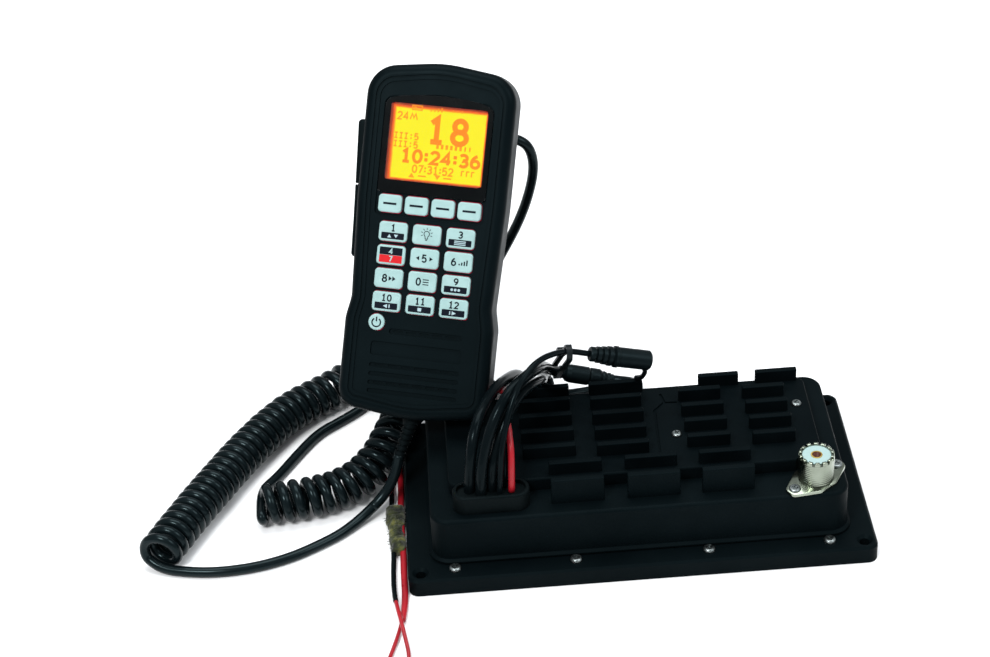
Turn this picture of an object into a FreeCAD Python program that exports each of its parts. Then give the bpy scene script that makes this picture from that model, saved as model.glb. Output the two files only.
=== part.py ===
# Fixed-mount VHF marine radio: black-box transceiver lying on its front plate, a full
# handset on a hanger, its curly cord, and the leads of the transceiver's cable gland.
#
# Frame: millimetres, origin at the centre of the front plate's underside, +X to the
# right along the plate's width, +Y away from the cable-gland side, +Z up.
# The handset is drawn in its own face frame (X right, Y up the face, Z out of the face)
# and placed as a whole; every key and shell shares that placement.
import FreeCAD, Part
import math
import os

V = FreeCAD.Vector
Rot = FreeCAD.Rotation
Pl = FreeCAD.Placement
doc = FreeCAD.newDocument("vhf_marine_radio")

# ---------------------------------------------------------------- driving dimensions
sheet = doc.addObject("Spreadsheet::Sheet", "sizes")
SIZES = [
    # front plate (flange) and chassis
    ("plate_width", 208.2), ("plate_depth", 111.9), ("plate_thick", 8.7), ("plate_corner", 4.5),
    ("plate_edge", 1.0), ("mount_dx", 197.0), ("mount_dy", 100.4), ("mount_hole", 4.6),
    ("screw_dy", 98.4), ("screw_x_out", 166.2), ("screw_x_in", 59.0),
    ("gasket_thick", 0.8), ("body_width", 185.0), ("body_depth", 86.1), ("body_shift", -1.9),
    ("body_top", 32.1), ("body_corner", 8.0), ("body_wall", 2.6), ("body_roof", 3.0),
    ("skirt_grow", 3.4), ("skirt_rise", 1.8), ("top_round", 1.6),
    ("slab_width", 167.0), ("slab_front", -27.5), ("slab_rear", 32.2), ("slab_top", 38.6),
    ("fin_top", 44.8), ("fin_thick", 2.8), ("fin_pitch", 11.2), ("fin_first", -13.6),
    ("front_fin_y", -36.3), ("edge_fin_y", -24.2),
    # cable gland
    ("gland_x", -65.0), ("gland_y", -34.6), ("gland_len", 34.0), ("gland_wide", 12.6),
    ("gland_rise", 9.0), ("gland_lip", 1.6), ("gland_well", 1.8),
    # antenna socket
    ("socket_x", 78.6), ("socket_y", -34.2), ("socket_rad", 7.94), ("socket_top", 46.9),
    ("socket_flange", 1.4), ("socket_screw_span", 25.5), ("socket_turn", 35.0),
    ("insul_rad", 6.3), ("contact_rad", 2.55), ("contact_bore", 2.0),
    # handset pose and body
    ("hs_x", -84.95), ("hs_y", 50.38), ("hs_z", 119.81),
    ("hs_yaw", -11.23), ("hs_tilt", 32.43), ("hs_roll", -3.95),
    ("hs_half", 34.0), ("hs_flare", 34.2), ("hs_waist", 32.3), ("hs_top", 77.3), ("hs_bottom", -80.3), ("hs_chin", 4.2),
    ("hs_front", 13.0), ("hs_rear", 27.0), ("hs_wall", 2.4), ("hs_face", 3.0),
    ("hs_edge", 4.2), ("hs_back_edge", 8.5), ("field_drop", 0.6), ("recess_drop", 1.6),
    ("key_w", 13.0), ("key_d", 8.8), ("key_round", 1.7), ("key_pitch_x", 15.38), ("key_pitch_y", 10.53),
    ("soft_w", 10.6), ("soft_d", 8.0), ("soft_pitch", 12.06), ("soft_y", 12.47),
    ("key_gap", 0.3), ("key_low", 3.3), ("key_high", 0.7), ("power_x", -19.0), ("power_y", -41.2),
    ("power_dia", 7.4), ("lcd_w", 44.4), ("lcd_d", 34.6), ("lcd_y", 40.5),
    ("ptt_low", -13.4), ("ptt_high", 48.9), ("ptt_in", -29.8),
    # hanger
    ("stud_y", 10.0), ("stud_neck", 3.5), ("stud_head", 6.5), ("arm_dia", 8.0),
    # cords
    ("thick_lead", 5.0), ("thin_lead", 2.7), ("red_lead", 3.0), ("black_lead", 2.4),
    ("cord_dia", 4.8), ("coil_dia", 19.8),
]
P = {}
for row, (name, value) in enumerate(SIZES, start=1):
    sheet.set("A%d" % row, name)
    sheet.set("B%d" % row, str(value))
    sheet.setAlias("B%d" % row, name)
    P[name] = float(value)
doc.recompute()

NODES = []                       # every sub-part, in the order it is made


def keep(obj, label):
    obj.Label = label
    NODES.append(obj)
    return obj


# ---------------------------------------------------------------- drawing helpers
def rounded(points):
    """Lines and tangent arcs of a closed outline; points are (x, y, corner radius)."""
    n = len(points)
    tang = []
    for i in range(n):
        x, y, r = points[i]
        p = V(x, y, 0)
        a = V(points[i - 1][0], points[i - 1][1], 0) - p
        b = V(points[(i + 1) % n][0], points[(i + 1) % n][1], 0) - p
        a.normalize()
        b.normalize()
        if r <= 1e-6:
            tang.append((p, None, p))
            continue
        half = a.getAngle(b) / 2.0
        reach = r / math.tan(half)
        bis = a + b
        bis.normalize()
        centre = p + bis * (r / math.sin(half))
        tang.append((p + a * reach, centre - bis * r, p + b * reach))
    out = []
    for i in range(n):
        start, mid, end = tang[i]
        if mid is not None:
            out.append(Part.Arc(start, mid, end))
        nxt = tang[(i + 1) % n][0]
        if (nxt - end).Length > 1e-6:
            out.append(Part.LineSegment(end, nxt))
    return out


def box_outline(x0, y0, x1, y1, r):
    return rounded([(x0, y0, r), (x1, y0, r), (x1, y1, r), (x0, y1, r)])


def new_body(name):
    return doc.addObject("PartDesign::Body", name)


def plane_of(body, role):
    for f in body.Origin.OriginFeatures:
        if f.Role == role:
            return f
    raise RuntimeError("no plane " + role)


def sketch(body, level=None, level_expr=None, role="XY_Plane"):
    s = body.newObject("Sketcher::SketchObject", body.Name + "_sketch")
    s.AttachmentSupport = [(plane_of(body, role), "")]
    s.MapMode = "FlatFace"
    if level is not None:
        s.AttachmentOffset = Pl(V(0, 0, level), Rot())
    if level_expr:
        s.setExpression("AttachmentOffset.Base.z", level_expr)
    return s


def rect_sketch(body, w_expr, d_expr, cx_expr=None, cy_expr=None, level=None, level_expr=None):
    """A rectangle held by constraints: width, depth and the place of its centre."""
    import Sketcher
    s = sketch(body, level, level_expr)
    pts = [V(-1, -1, 0), V(1, -1, 0), V(1, 1, 0), V(-1, 1, 0)]
    for i in range(4):
        s.addGeometry(Part.LineSegment(pts[i], pts[(i + 1) % 4]), False)
    for i in range(4):
        s.addConstraint(Sketcher.Constraint("Coincident", i, 2, (i + 1) % 4, 1))
    s.addConstraint(Sketcher.Constraint("Horizontal", 0))
    s.addConstraint(Sketcher.Constraint("Horizontal", 2))
    s.addConstraint(Sketcher.Constraint("Vertical", 1))
    s.addConstraint(Sketcher.Constraint("Vertical", 3))
    c = s.addConstraint(Sketcher.Constraint("DistanceX", 0, 1, 0, 2, 2.0))
    s.setExpression("Constraints[%d]" % c, w_expr)
    c = s.addConstraint(Sketcher.Constraint("DistanceY", 1, 1, 1, 2, 2.0))
    s.setExpression("Constraints[%d]" % c, d_expr)
    # the low-left corner from the sketch origin
    c = s.addConstraint(Sketcher.Constraint("DistanceX", -1, 1, 0, 2, 1.0))
    s.setExpression("Constraints[%d]" % c, "(%s) / 2 + %s" % (w_expr, cx_expr or "0"))
    c = s.addConstraint(Sketcher.Constraint("DistanceY", -1, 1, 1, 2, 1.0))
    s.setExpression("Constraints[%d]" % c, "(%s) / 2 + %s" % (d_expr, cy_expr or "0"))
    return s


def pad(body, s, length_expr, down=False):
    f = body.newObject("PartDesign::Pad", body.Name + "_pad")
    f.Profile = s
    f.Length = 1.0
    f.setExpression("Length", length_expr)
    f.Reversed = down
    doc.recompute()
    return f


def pocket(body, s, length_expr=None, up=False, through=False):
    """Cut from the sketch plane, downwards unless up."""
    before = body.Shape.Volume
    f = body.newObject("PartDesign::Pocket", body.Name + "_pocket")
    f.Profile = s
    if through:
        f.Type = 1
        f.Midplane = True
    else:
        f.Type = 0
        f.Length = 1.0
        f.setExpression("Length", length_expr)
    f.Reversed = up
    doc.recompute()
    if not body.Shape.Volume < before - 1e-4:
        raise RuntimeError("pocket cuts nothing in " + body.Name)
    return f


def edges_of(shape, test):
    return ["Edge%d" % (i + 1) for i, e in enumerate(shape.Edges) if test(e)]


def is_vertical(e):
    if len(e.Vertexes) != 2:
        return False
    a, b = e.Vertexes[0].Point, e.Vertexes[1].Point
    return abs(a.x - b.x) < 1e-4 and abs(a.y - b.y) < 1e-4 and abs(a.z - b.z) > 0.2


def at_level(z):
    return lambda e: all(abs(v.Point.z - z) < 1e-3 for v in e.Vertexes) and \
        abs(e.BoundBox.ZMin - z) < 1e-3 and abs(e.BoundBox.ZMax - z) < 1e-3


def fillet(body, base, names, expr):
    f = body.newObject("PartDesign::Fillet", body.Name + "_round")
    f.Base = (base, names)
    f.Radius = 0.5
    f.setExpression("Radius", expr)
    doc.recompute()
    return f


def chamfer(body, base, names, expr):
    f = body.newObject("PartDesign::Chamfer", body.Name + "_bevel")
    f.Base = (base, names)
    f.Size = 0.3
    f.setExpression("Size", expr)
    doc.recompute()
    return f


def feature(name, shape, placement=None):
    f = doc.addObject("Part::Feature", name)
    f.Shape = shape
    if placement is not None:
        f.Placement = placement
    return keep(f, name)


def frame_of(origin, axis, spin=None):
    """Placement that carries +Z onto axis at origin."""
    return Pl(origin, Rot(V(0, 0, 1), axis))


def revolve(profile):
    """Solid of revolution about Z from (radius, z) points."""
    pts = [V(r, 0, z) for r, z in profile]
    pts.append(pts[0])
    return Part.Face(Part.makePolygon(pts)).revolve(V(0, 0, 0), V(0, 0, 1), 360)


def pan_screw(head_r, head_h, shank_r, shank_l, slot=True):
    """Cross-recess pan screw, head's underside at z = 0, head upwards."""
    head = Part.makeCylinder(head_r, head_h)
    try:
        head = head.makeFillet(min(head_h * 0.7, head_r * 0.5), edges_top(head, head_h))
    except Exception:
        pass
    s = head.fuse(Part.makeCylinder(shank_r, shank_l + 0.01, V(0, 0, -shank_l)))
    if slot:
        w, l, d = head_r * 0.28, head_r * 1.15, head_h * 0.6
        for ang in (0, 90):
            b = Part.makeBox(l, w, d, V(-l / 2, -w / 2, head_h - d))
            b.rotate(V(0, 0, 0), V(0, 0, 1), ang)
            s = s.cut(b)
    return s.removeSplitter()


def edges_top(shape, z):
    return [e for e in shape.Edges if abs(e.BoundBox.ZMin - z) < 1e-6 and abs(e.BoundBox.ZMax - z) < 1e-6]


def route_wire(points, label):
    """Straight runs joined by tangent arcs; the arc is 0.45 of the shorter run."""
    p = [V(*q) for q in points]
    runs = [(p[i + 1] - p[i]).Length for i in range(len(p) - 1)]
    edges, here, radii = [], p[0], []
    for i in range(1, len(p) - 1):
        a = p[i] - p[i - 1]
        b = p[i + 1] - p[i]
        a.normalize()
        b.normalize()
        turn = a.getAngle(b)
        reach = 0.45 * min(runs[i - 1], runs[i])
        if turn < math.radians(0.3):
            raise RuntimeError("%s: points in line at %d" % (label, i))
        r = reach / math.tan(turn / 2)
        radii.append((r, round(math.degrees(turn))))
        bis = b - a
        bis.normalize()
        centre = p[i] + bis * (r / math.cos(turn / 2))
        start, mid, end = p[i] - a * reach, centre - bis * r, p[i] + b * reach
        if (start - here).Length > 1e-6:
            edges.append(Part.LineSegment(here, start).toShape())
        edges.append(Part.Arc(start, mid, end).toShape())
        here = end
    edges.append(Part.LineSegment(here, p[-1]).toShape())
    return Part.Wire(edges), radii, runs


def tube(name, points, dia):
    wire, radii, runs = route_wire(points, name)
    first = V(*points[1]) - V(*points[0])
    ring = Part.Wire([Part.Circle(V(*points[0]), first, dia / 2).toShape()])
    s = wire.makePipeShell([ring], True, False)
    if s.ShapeType != "Solid":
        s = Part.Solid(s) if s.ShapeType == "Shell" else s.Solids[0]
    want = math.pi * dia * dia / 4 * wire.Length
    tight = min(radii)
    print("cord %-16s d %.1f length %7.1f volume/section*length %.4f tightest radius %.1f mm (turn %d), turns <= %d, runs %.0f-%.0f"
          % (name, dia, wire.Length, s.Volume / want, tight[0], tight[1], max(t for _, t in radii), min(runs), max(runs)))
    if abs(s.Volume / want - 1) > 0.02 or not s.isValid():
        raise RuntimeError("bad tube " + name)
    return feature(name, s)


# ================================================================ TRANSCEIVER
# Front plate: 208 x 112 mm, rounded corners, a thin bevel round its upper edge, four
# countersunk mounting holes in the corners and eight tapped holes for the case screws.
b = new_body("front_plate")
s = rect_sketch(b, "sizes.plate_width", "sizes.plate_depth")
f = pad(b, s, "sizes.plate_thick")
f = fillet(b, f, edges_of(f.Shape, is_vertical), "sizes.plate_corner")
f = chamfer(b, f, edges_of(f.Shape, at_level(P["plate_thick"])), "sizes.plate_edge")
screw_xy = [(sx * x / 2.0, sy * P["screw_dy"] / 2) for x in (P["screw_x_out"], P["screw_x_in"]) for sx in (-1, 1) for sy in (-1, 1)]
mount_xy = [(sx * P["mount_dx"] / 2, sy * P["mount_dy"] / 2) for sx in (-1, 1) for sy in (-1, 1)]
s = sketch(b, P["plate_thick"], "sizes.plate_thick")
for x, y in mount_xy:
    s.addGeometry(Part.Circle(V(x, y, 0), V(0, 0, 1), P["mount_hole"] / 2), False)
f = pocket(b, s, through=True)
s = sketch(b, P["plate_thick"], "sizes.plate_thick")
for x, y in screw_xy:
    s.addGeometry(Part.Circle(V(x, y, 0), V(0, 0, 1), 1.5), False)
f = pocket(b, s, "6.5")
f = chamfer(b, f, edges_of(b.Shape, lambda e: e.BoundBox.ZMin > P["plate_thick"] - 0.01 and isinstance(e.Curve, Part.Circle)
                           and abs(e.Curve.Radius - P["mount_hole"] / 2) < 1e-3), "1.4")
keep(b, "front_plate")

# Gasket: a flat rubber frame between the plate and the chassis.
b = new_body("plate_gasket")
s = sketch(b, P["plate_thick"], "sizes.plate_thick")
hw, hd, cy = P["body_width"] / 2, P["body_depth"] / 2, P["body_shift"]
for geo in (box_outline(-hw + 0.3, cy - hd + 0.3, hw - 0.3, cy + hd - 0.3, P["body_corner"] - 0.3),
            box_outline(-hw + 2.6, cy - hd + 2.6, hw - 2.6, cy + hd - 2.6, P["body_corner"] - 2.6)):
    s.addGeometry(geo, False)
pad(b, s, "sizes.gasket_thick")
keep(b, "plate_gasket")

# Chassis: a die-cast box, open towards the plate, with a small skirt at its foot, a
# rounded top edge and three tall fins standing on the strip in front of the heat sink.
foot = P["plate_thick"] + P["gasket_thick"]
b = new_body("chassis")
s = rect_sketch(b, "sizes.body_width", "sizes.body_depth", None, "sizes.body_shift",
                foot, "sizes.plate_thick + sizes.gasket_thick")
f = pad(b, s, "sizes.body_top - sizes.plate_thick - sizes.gasket_thick")
f = fillet(b, f, edges_of(f.Shape, is_vertical), "sizes.body_corner")
f = fillet(b, f, edges_of(f.Shape, at_level(P["body_top"])), "sizes.top_round")
# skirt
s = sketch(b, foot, "sizes.plate_thick + sizes.gasket_thick")
g = P["skirt_grow"] / 2
s.addGeometry(box_outline(-hw - g, cy - hd - g, hw + g, cy + hd + g, P["body_corner"] + g), False)
f = pad(b, s, "sizes.skirt_rise")
names = edges_of(b.Shape, lambda e: abs(e.BoundBox.ZMin - foot - P["skirt_rise"]) < 1e-3 and abs(e.BoundBox.ZMax - foot - P["skirt_rise"]) < 1e-3
                 and (abs(e.BoundBox.XMax) > hw + 0.5 * g or abs(e.BoundBox.XMin) > hw + 0.5 * g or e.BoundBox.YMin < cy - hd - 0.5 * g or e.BoundBox.YMax > cy + hd + 0.5 * g))
f = chamfer(b, f, names, "1.1")
# hollow, from below
s = sketch(b, foot, "sizes.plate_thick + sizes.gasket_thick")
wl = P["body_wall"]
s.addGeometry(box_outline(-hw + wl, cy - hd + wl, hw - wl, cy + hd - wl, P["body_corner"] - wl), False)
f = pocket(b, s, "sizes.body_top - sizes.plate_thick - sizes.gasket_thick - sizes.body_roof", up=True)
# front fins
s = sketch(b, P["body_top"] - 0.5, "sizes.body_top - 0.5")
FRONT_X = [(-38.7, -15.2), (-5.0, 18.3), (28.0, 51.1)]
ft = P["fin_thick"] / 2
for x0, x1 in FRONT_X:
    s.addGeometry(box_outline(x0, P["front_fin_y"] - ft, x1, P["front_fin_y"] + ft, 0.6), False)
f = pad(b, s, "sizes.fin_top - sizes.body_top + 0.5")
f = fillet(b, f, edges_of(b.Shape, at_level(P["fin_top"])), "0.5")
# low plinth under each front fin, as cast
keep(b, "chassis")

# Heat sink: a slab with rounded corners and staggered rows of fins across it.
b = new_body("heat_sink")
s = sketch(b, P["body_top"], "sizes.body_top")
sw = P["slab_width"] / 2
s.addGeometry(box_outline(-sw, P["slab_front"], sw, P["slab_rear"], 4.0), False)
f = pad(b, s, "sizes.slab_top - sizes.body_top")
f = fillet(b, f, edges_of(f.Shape, at_level(P["slab_top"])), "1.0")
s = sketch(b, P["slab_top"] - 0.5, "sizes.slab_top - 0.5")
COLS = [(-49.5, -25.6, 1.3), (-16.3, 7.1, 0.0), (24.4, 43.7, 1.3), (53.5, 72.7, 0.0)]
for row_no in range(4):
    y = P["fin_first"] + row_no * P["fin_pitch"]
    for x0, x1, dy in COLS:
        s.addGeometry(box_outline(x0, y + dy - ft, x1, y + dy + ft, 0.6), False)
y = P["slab_rear"] - ft
for x0, x1 in [(-54.0, -25.2), (-16.1, 8.8), (34.7, 53.3), (61.1, 80.3)]:
    s.addGeometry(box_outline(x0, y - ft, x1, y + ft, 0.6), False)
for x0, x1 in FRONT_X:
    s.addGeometry(box_outline(x0, P["edge_fin_y"] - ft, x1, P["edge_fin_y"] + ft, 0.6), False)
f = pad(b, s, "sizes.fin_top - sizes.slab_top + 0.5")
f = fillet(b, f, edges_of(b.Shape, at_level(P["fin_top"])), "0.5")
# a crooked parting groove in the bare bay between the second and third columns
s = sketch(b, P["slab_top"], "sizes.slab_top")
groove = [(11.2, -20.4), (12.2, -20.4), (13.4, 14.1), (18.5, 19.3), (23.6, 19.1), (23.6, 20.3), (18.4, 20.6),
          (17.2, 26.8), (16.0, 26.5), (17.2, 20.5), (12.1, 14.9)]
for i in range(len(groove)):
    a, c = groove[i], groove[(i + 1) % len(groove)]
    s.addGeometry(Part.LineSegment(V(a[0], a[1], 0), V(c[0], c[1], 0)), False)
f = pocket(b, s, "0.7")
LID_SCREWS = [(20.6, -3.9), (77.3, 11.8), (-66.5, -14.0), (-20.9, -19.4)]
s = sketch(b, P["slab_top"], "sizes.slab_top")
for x, y in LID_SCREWS:
    s.addGeometry(Part.Circle(V(x, y, 0), V(0, 0, 1), 1.3), False)
f = pocket(b, s, "5")
# notch in the slab's corner that clears the antenna socket and its flange
s = sketch(b, P["slab_top"], "sizes.slab_top")
s.addGeometry(Part.Circle(V(P["socket_x"], P["socket_y"], 0), V(0, 0, 1), 10.3), False)
f = pocket(b, s, "sizes.slab_top - sizes.body_top")
s = sketch(b, P["slab_top"], "sizes.slab_top")
turn_, reach_ = math.radians(P["socket_turn"]), P["socket_screw_span"] / 2 + 4.2
lozenge = [(-reach_, -3.4, 3.0), (-5.0, -9.7, 5.4), (5.0, -9.7, 5.4), (reach_, -3.4, 3.0),
           (reach_, 3.4, 3.0), (5.0, 9.7, 5.4), (-5.0, 9.7, 5.4), (-reach_, 3.4, 3.0)]
s.addGeometry(rounded([(P["socket_x"] + x * math.cos(turn_) - y * math.sin(turn_),
                        P["socket_y"] + x * math.sin(turn_) + y * math.cos(turn_), r) for x, y, r in lozenge]), False)
f = pocket(b, s, "sizes.slab_top - sizes.body_top")
keep(b, "heat_sink")

# Fasteners of the case: eight case screws in the plate, four lid screws.
scr = pan_screw(2.7, 1.7, 1.45, 6.0)
parts = []
for i, (x, y) in enumerate(screw_xy):
    q = scr.copy()
    q.Placement = Pl(V(x, y, P["plate_thick"]), Rot(V(0, 0, 1), 17 + 41 * i))
    parts.append(q)
feature("plate_screws", Part.makeCompound(parts))
scr = pan_screw(2.3, 1.4, 1.25, 4.5)
parts = []
for i, (x, y) in enumerate(LID_SCREWS):
    q = scr.copy()
    q.Placement = Pl(V(x, y, P["slab_top"]), Rot(V(0, 0, 1), 25 + 33 * i))
    parts.append(q)
feature("heat_sink_screws", Part.makeCompound(parts))

# Cable gland: a stadium-shaped rubber block with a raised rim round a shallow well.
b = new_body("cable_gland")
s = sketch(b, P["body_top"], "sizes.body_top")
gx, gy, gl, gw = P["gland_x"], P["gland_y"], P["gland_len"] / 2, P["gland_wide"] / 2
s.addGeometry(box_outline(gx - gl, gy - gw, gx + gl, gy + gw, gw - 0.3), False)
f = pad(b, s, "sizes.gland_rise")
f = fillet(b, f, edges_of(f.Shape, at_level(P["body_top"] + P["gland_rise"])), "1.0")
s = sketch(b, P["body_top"] + P["gland_rise"], "sizes.body_top + sizes.gland_rise")
lip = P["gland_lip"]
s.addGeometry(box_outline(gx - gl + lip, gy - gw + lip, gx + gl - lip, gy + gw - lip, gw - lip - 0.3), False)
f = pocket(b, s, "sizes.gland_well")
keep(b, "cable_gland")

# Antenna socket: two-hole flange, threaded barrel and toothed mouth.
ang = P["socket_turn"]
tip = P["socket_screw_span"] / 2
b = new_body("socket_shell")
b.Placement = Pl(V(P["socket_x"], P["socket_y"], P["body_top"]), Rot(V(0, 0, 1), ang))
s = sketch(b, 0)
rim = [(-tip - 3.3, -2.6, 2.5), (-4.5, -8.8, 5.0), (4.5, -8.8, 5.0), (tip + 3.3, -2.6, 2.5),
       (tip + 3.3, 2.6, 2.5), (4.5, 8.8, 5.0), (-4.5, 8.8, 5.0), (-tip - 3.3, 2.6, 2.5)]
s.addGeometry(rounded(rim), False)
s.addGeometry(Part.Circle(V(0, 0, 0), V(0, 0, 1), P["insul_rad"]), False)
for sx in (-1, 1):
    s.addGeometry(Part.Circle(V(sx * tip, 0, 0), V(0, 0, 1), 1.5), False)
pad(b, s, "sizes.socket_flange")
s = sketch(b, P["socket_flange"], "sizes.socket_flange")
s.addGeometry(Part.Circle(V(0, 0, 0), V(0, 0, 1), P["socket_rad"]), False)
s.addGeometry(Part.Circle(V(0, 0, 0), V(0, 0, 1), P["insul_rad"]), False)
f = pad(b, s, "sizes.socket_top - sizes.body_top - sizes.socket_flange")
h_top = P["socket_top"] - P["body_top"]
s = sketch(b, h_top, "sizes.socket_top - sizes.body_top")
s.addGeometry(rounded([(5.5, -0.75, 0), (9.0, -0.75, 0), (9.0, 0.75, 0), (5.5, 0.75, 0)]), False)
cut = pocket(b, s, "1.3")
pat = b.newObject("PartDesign::PolarPattern", "socket_teeth")
pat.Originals = [cut]
for fo in b.Origin.OriginFeatures:
    if fo.Role == "Z_Axis":
        pat.Axis = (fo, [""])
pat.Angle = 360
pat.Occurrences = 14
b.Tip = pat
doc.recompute()
keep(b, "socket_shell")
sock = V(P["socket_x"], P["socket_y"], P["body_top"])
ins = doc.addObject("Part::Cut", "socket_insulator")
o = doc.addObject("Part::Cylinder", "insulator_disc")
o.setExpression("Radius", "sizes.insul_rad")
o.setExpression("Height", "sizes.socket_top - sizes.body_top - 0.9")
i_ = doc.addObject("Part::Cylinder", "insulator_hole")
i_.setExpression("Radius", "sizes.contact_rad")
i_.Height = 40
ins.Base, ins.Tool = o, i_
ins.Placement = Pl(sock, Rot())
keep(ins, "socket_insulator")
con = doc.addObject("Part::Cut", "socket_contact")
o = doc.addObject("Part::Cylinder", "contact_tube")
o.setExpression("Radius", "sizes.contact_rad")
o.setExpression("Height", "sizes.socket_top - sizes.body_top - 0.7")
i_ = doc.addObject("Part::Cylinder", "contact_hole")
i_.setExpression("Radius", "sizes.contact_bore")
i_.Height = 40
i_.Placement = Pl(V(0, 0, 3.5), Rot())
con.Base, con.Tool = o, i_
con.Placement = Pl(sock, Rot())
keep(con, "socket_contact")
scr = pan_screw(2.6, 1.1, 1.4, 2.9)
parts = []
for sx in (-1, 1):
    q = scr.copy()
    off = Rot(V(0, 0, 1), ang).multVec(V(sx * tip, 0, P["socket_flange"]))
    q.Placement = Pl(sock + off, Rot(V(0, 0, 1), 20 + 50 * sx))
    parts.append(q)
feature("socket_screws", Part.makeCompound(parts))

# Circuit board with its screening cans and the power device, inside the chassis.
board = Part.makeBox(172, 72, 1.6, V(-86, -38, 14.0))
for bx, by, bw, bd, bh in ((-60, -30, 48, 34, 7.5), (0, -28, 40, 52, 7.5), (52, -6, 26, 36, 6.0), (-70, 12, 40, 18, 5.0)):
    board = board.fuse(Part.makeBox(bw, bd, bh, V(bx, by, 15.5)))
for bx in (-80, 80):
    for by in (-33, 29):
        board = board.fuse(Part.makeCylinder(2.5, 14.0 - P["plate_thick"], V(bx, by, P["plate_thick"])))
feature("main_board", board.removeSplitter())

# ================================================================ HANDSET
HS = Pl(V(P["hs_x"], P["hs_y"], P["hs_z"]),
        Rot(V(0, 0, 1), P["hs_yaw"]) * Rot(V(1, 0, 0), 90 - P["hs_tilt"]) * Rot(V(0, 0, 1), P["hs_roll"]))


def outline(off, chin=1.0):
    """The handset's outline, drawn in by off: domed top, narrow waist, wider foot, bowed chin (0 = flat)."""
    hw_, fl, wa = P["hs_half"] - off, P["hs_flare"] - off, P["hs_waist"] - off
    top, bot = P["hs_top"] - off, P["hs_bottom"] + off
    right = [(fl, bot, max(9.5 - off, 1.5)), (fl, -40.5, 14.0), (wa, -31.0, 14.0), (hw_, 14.0, 60.0),
             (hw_, top - 4.4, max(14.0 - off, 1.5))]
    left = [(-x, y, r) for x, y, r in reversed(right)]
    foot = [(0.0, bot - P["hs_chin"] * chin, 60.0)] if chin else []
    return rounded(right + [(0.0, top, 60.0)] + left + foot)


front, rear, face = P["hs_front"], P["hs_rear"], P["hs_face"]
b = new_body("front_shell")
s = sketch(b, 0)
s.addGeometry(outline(0), False)
f = pad(b, s, "sizes.hs_front", down=True)
f = fillet(b, f, edges_of(f.Shape, at_level(0)), "sizes.hs_edge")
# hollow behind the face
s = sketch(b, -front, "-sizes.hs_front")
s.addGeometry(outline(P["hs_wall"]), False)
f = pocket(b, s, "sizes.hs_front - sizes.hs_face", up=True)
# double contour line round the face, then the sunk field inside it
s = sketch(b, 0)
for off in (4.7, 5.6):
    s.addGeometry(outline(off), False)
f = pocket(b, s, "0.7")
s = sketch(b, 0)
s.addGeometry(outline(6.8), False)
f = pocket(b, s, "sizes.field_drop")
# bay for the display lens and the soft keys, its top edge arched
s = sketch(b, 0)
s.addGeometry(rounded([(-25.0, 7.0, 2.2), (25.0, 7.0, 2.2), (25.0, 60.2, 4.0), (0, 63.0, 40.0), (-25.0, 60.2, 4.0)]), False)
f = pocket(b, s, "sizes.recess_drop")
# key holes, display window
s = sketch(b, 0)
gap = P["key_gap"]
KEYS, SOFT = [], []
for rr in range(4):
    for cc in range(3):
        KEYS.append(((cc - 1) * P["key_pitch_x"], -rr * P["key_pitch_y"]))
for cc in range(4):
    SOFT.append(((cc - 1.5) * P["soft_pitch"], P["soft_y"]))
kw, kd = P["key_w"] / 2 + gap, P["key_d"] / 2 + gap
for x, y in KEYS:
    s.addGeometry(box_outline(x - kw, y - kd, x + kw, y + kd, P["key_round"] + gap), False)
kw, kd = P["soft_w"] / 2 + gap, P["soft_d"] / 2 + gap
for x, y in SOFT:
    s.addGeometry(box_outline(x - kw, y - kd, x + kw, y + kd, P["key_round"] + gap), False)
s.addGeometry(Part.Circle(V(P["power_x"], P["power_y"], 0), V(0, 0, 1), P["power_dia"] / 2 + gap), False)
lw, ld, ly = P["lcd_w"] / 2, P["lcd_d"] / 2, P["lcd_y"]
s.addGeometry(box_outline(-lw, ly - ld, lw, ly + ld, 1.0), False)
f = pocket(b, s, "sizes.hs_face + 0.5")
# grille: one short slot, a wide sunk panel and four long slots under it
s = sketch(b, 0)
s.addGeometry(box_outline(-13.0, -46.0, 20.4, -43.4, 1.2), False)
s.addGeometry(box_outline(-20.8, -56.2, 20.8, -49.8, 1.4), False)
for y in (-60.6, -64.6, -68.6, -72.4):
    s.addGeometry(box_outline(-20.6, y - 1.0, 20.6, y + 1.0, 0.95), False)
f = pocket(b, s, "1.5")
s = sketch(b, 0)
for y in (-44.7, -60.6, -68.6):
    for x in range(-9, 21, 6) if y > -50 else range(-16, 20, 6):
        s.addGeometry(box_outline(x - 2.2, y - 0.45, x + 2.2, y + 0.45, 0.4), False)
f = pocket(b, s, "sizes.hs_face + 0.5")
# slot in the left wall for the push-to-talk bar
s = sketch(b, -4.4)
s.addGeometry(box_outline(-40, P["ptt_low"] - 0.3, -29.0, P["ptt_high"] + 0.3, 0.8), False)
f = pocket(b, s, "8.2")
# screw bosses
BOSS = [(-26.0, -71.0), (26.0, -71.0), (-24.6, 66.2), (24.6, 66.2)]
s = sketch(b, -face + 0.2)
for x, y in BOSS:
    s.addGeometry(Part.Circle(V(x, y, 0), V(0, 0, 1), 2.9), False)
    s.addGeometry(Part.Circle(V(x, y, 0), V(0, 0, 1), 1.3), False)
f = pad(b, s, "sizes.hs_front - sizes.hs_face + 0.1", down=True)
b.Placement = HS
keep(b, "front_shell")

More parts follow.
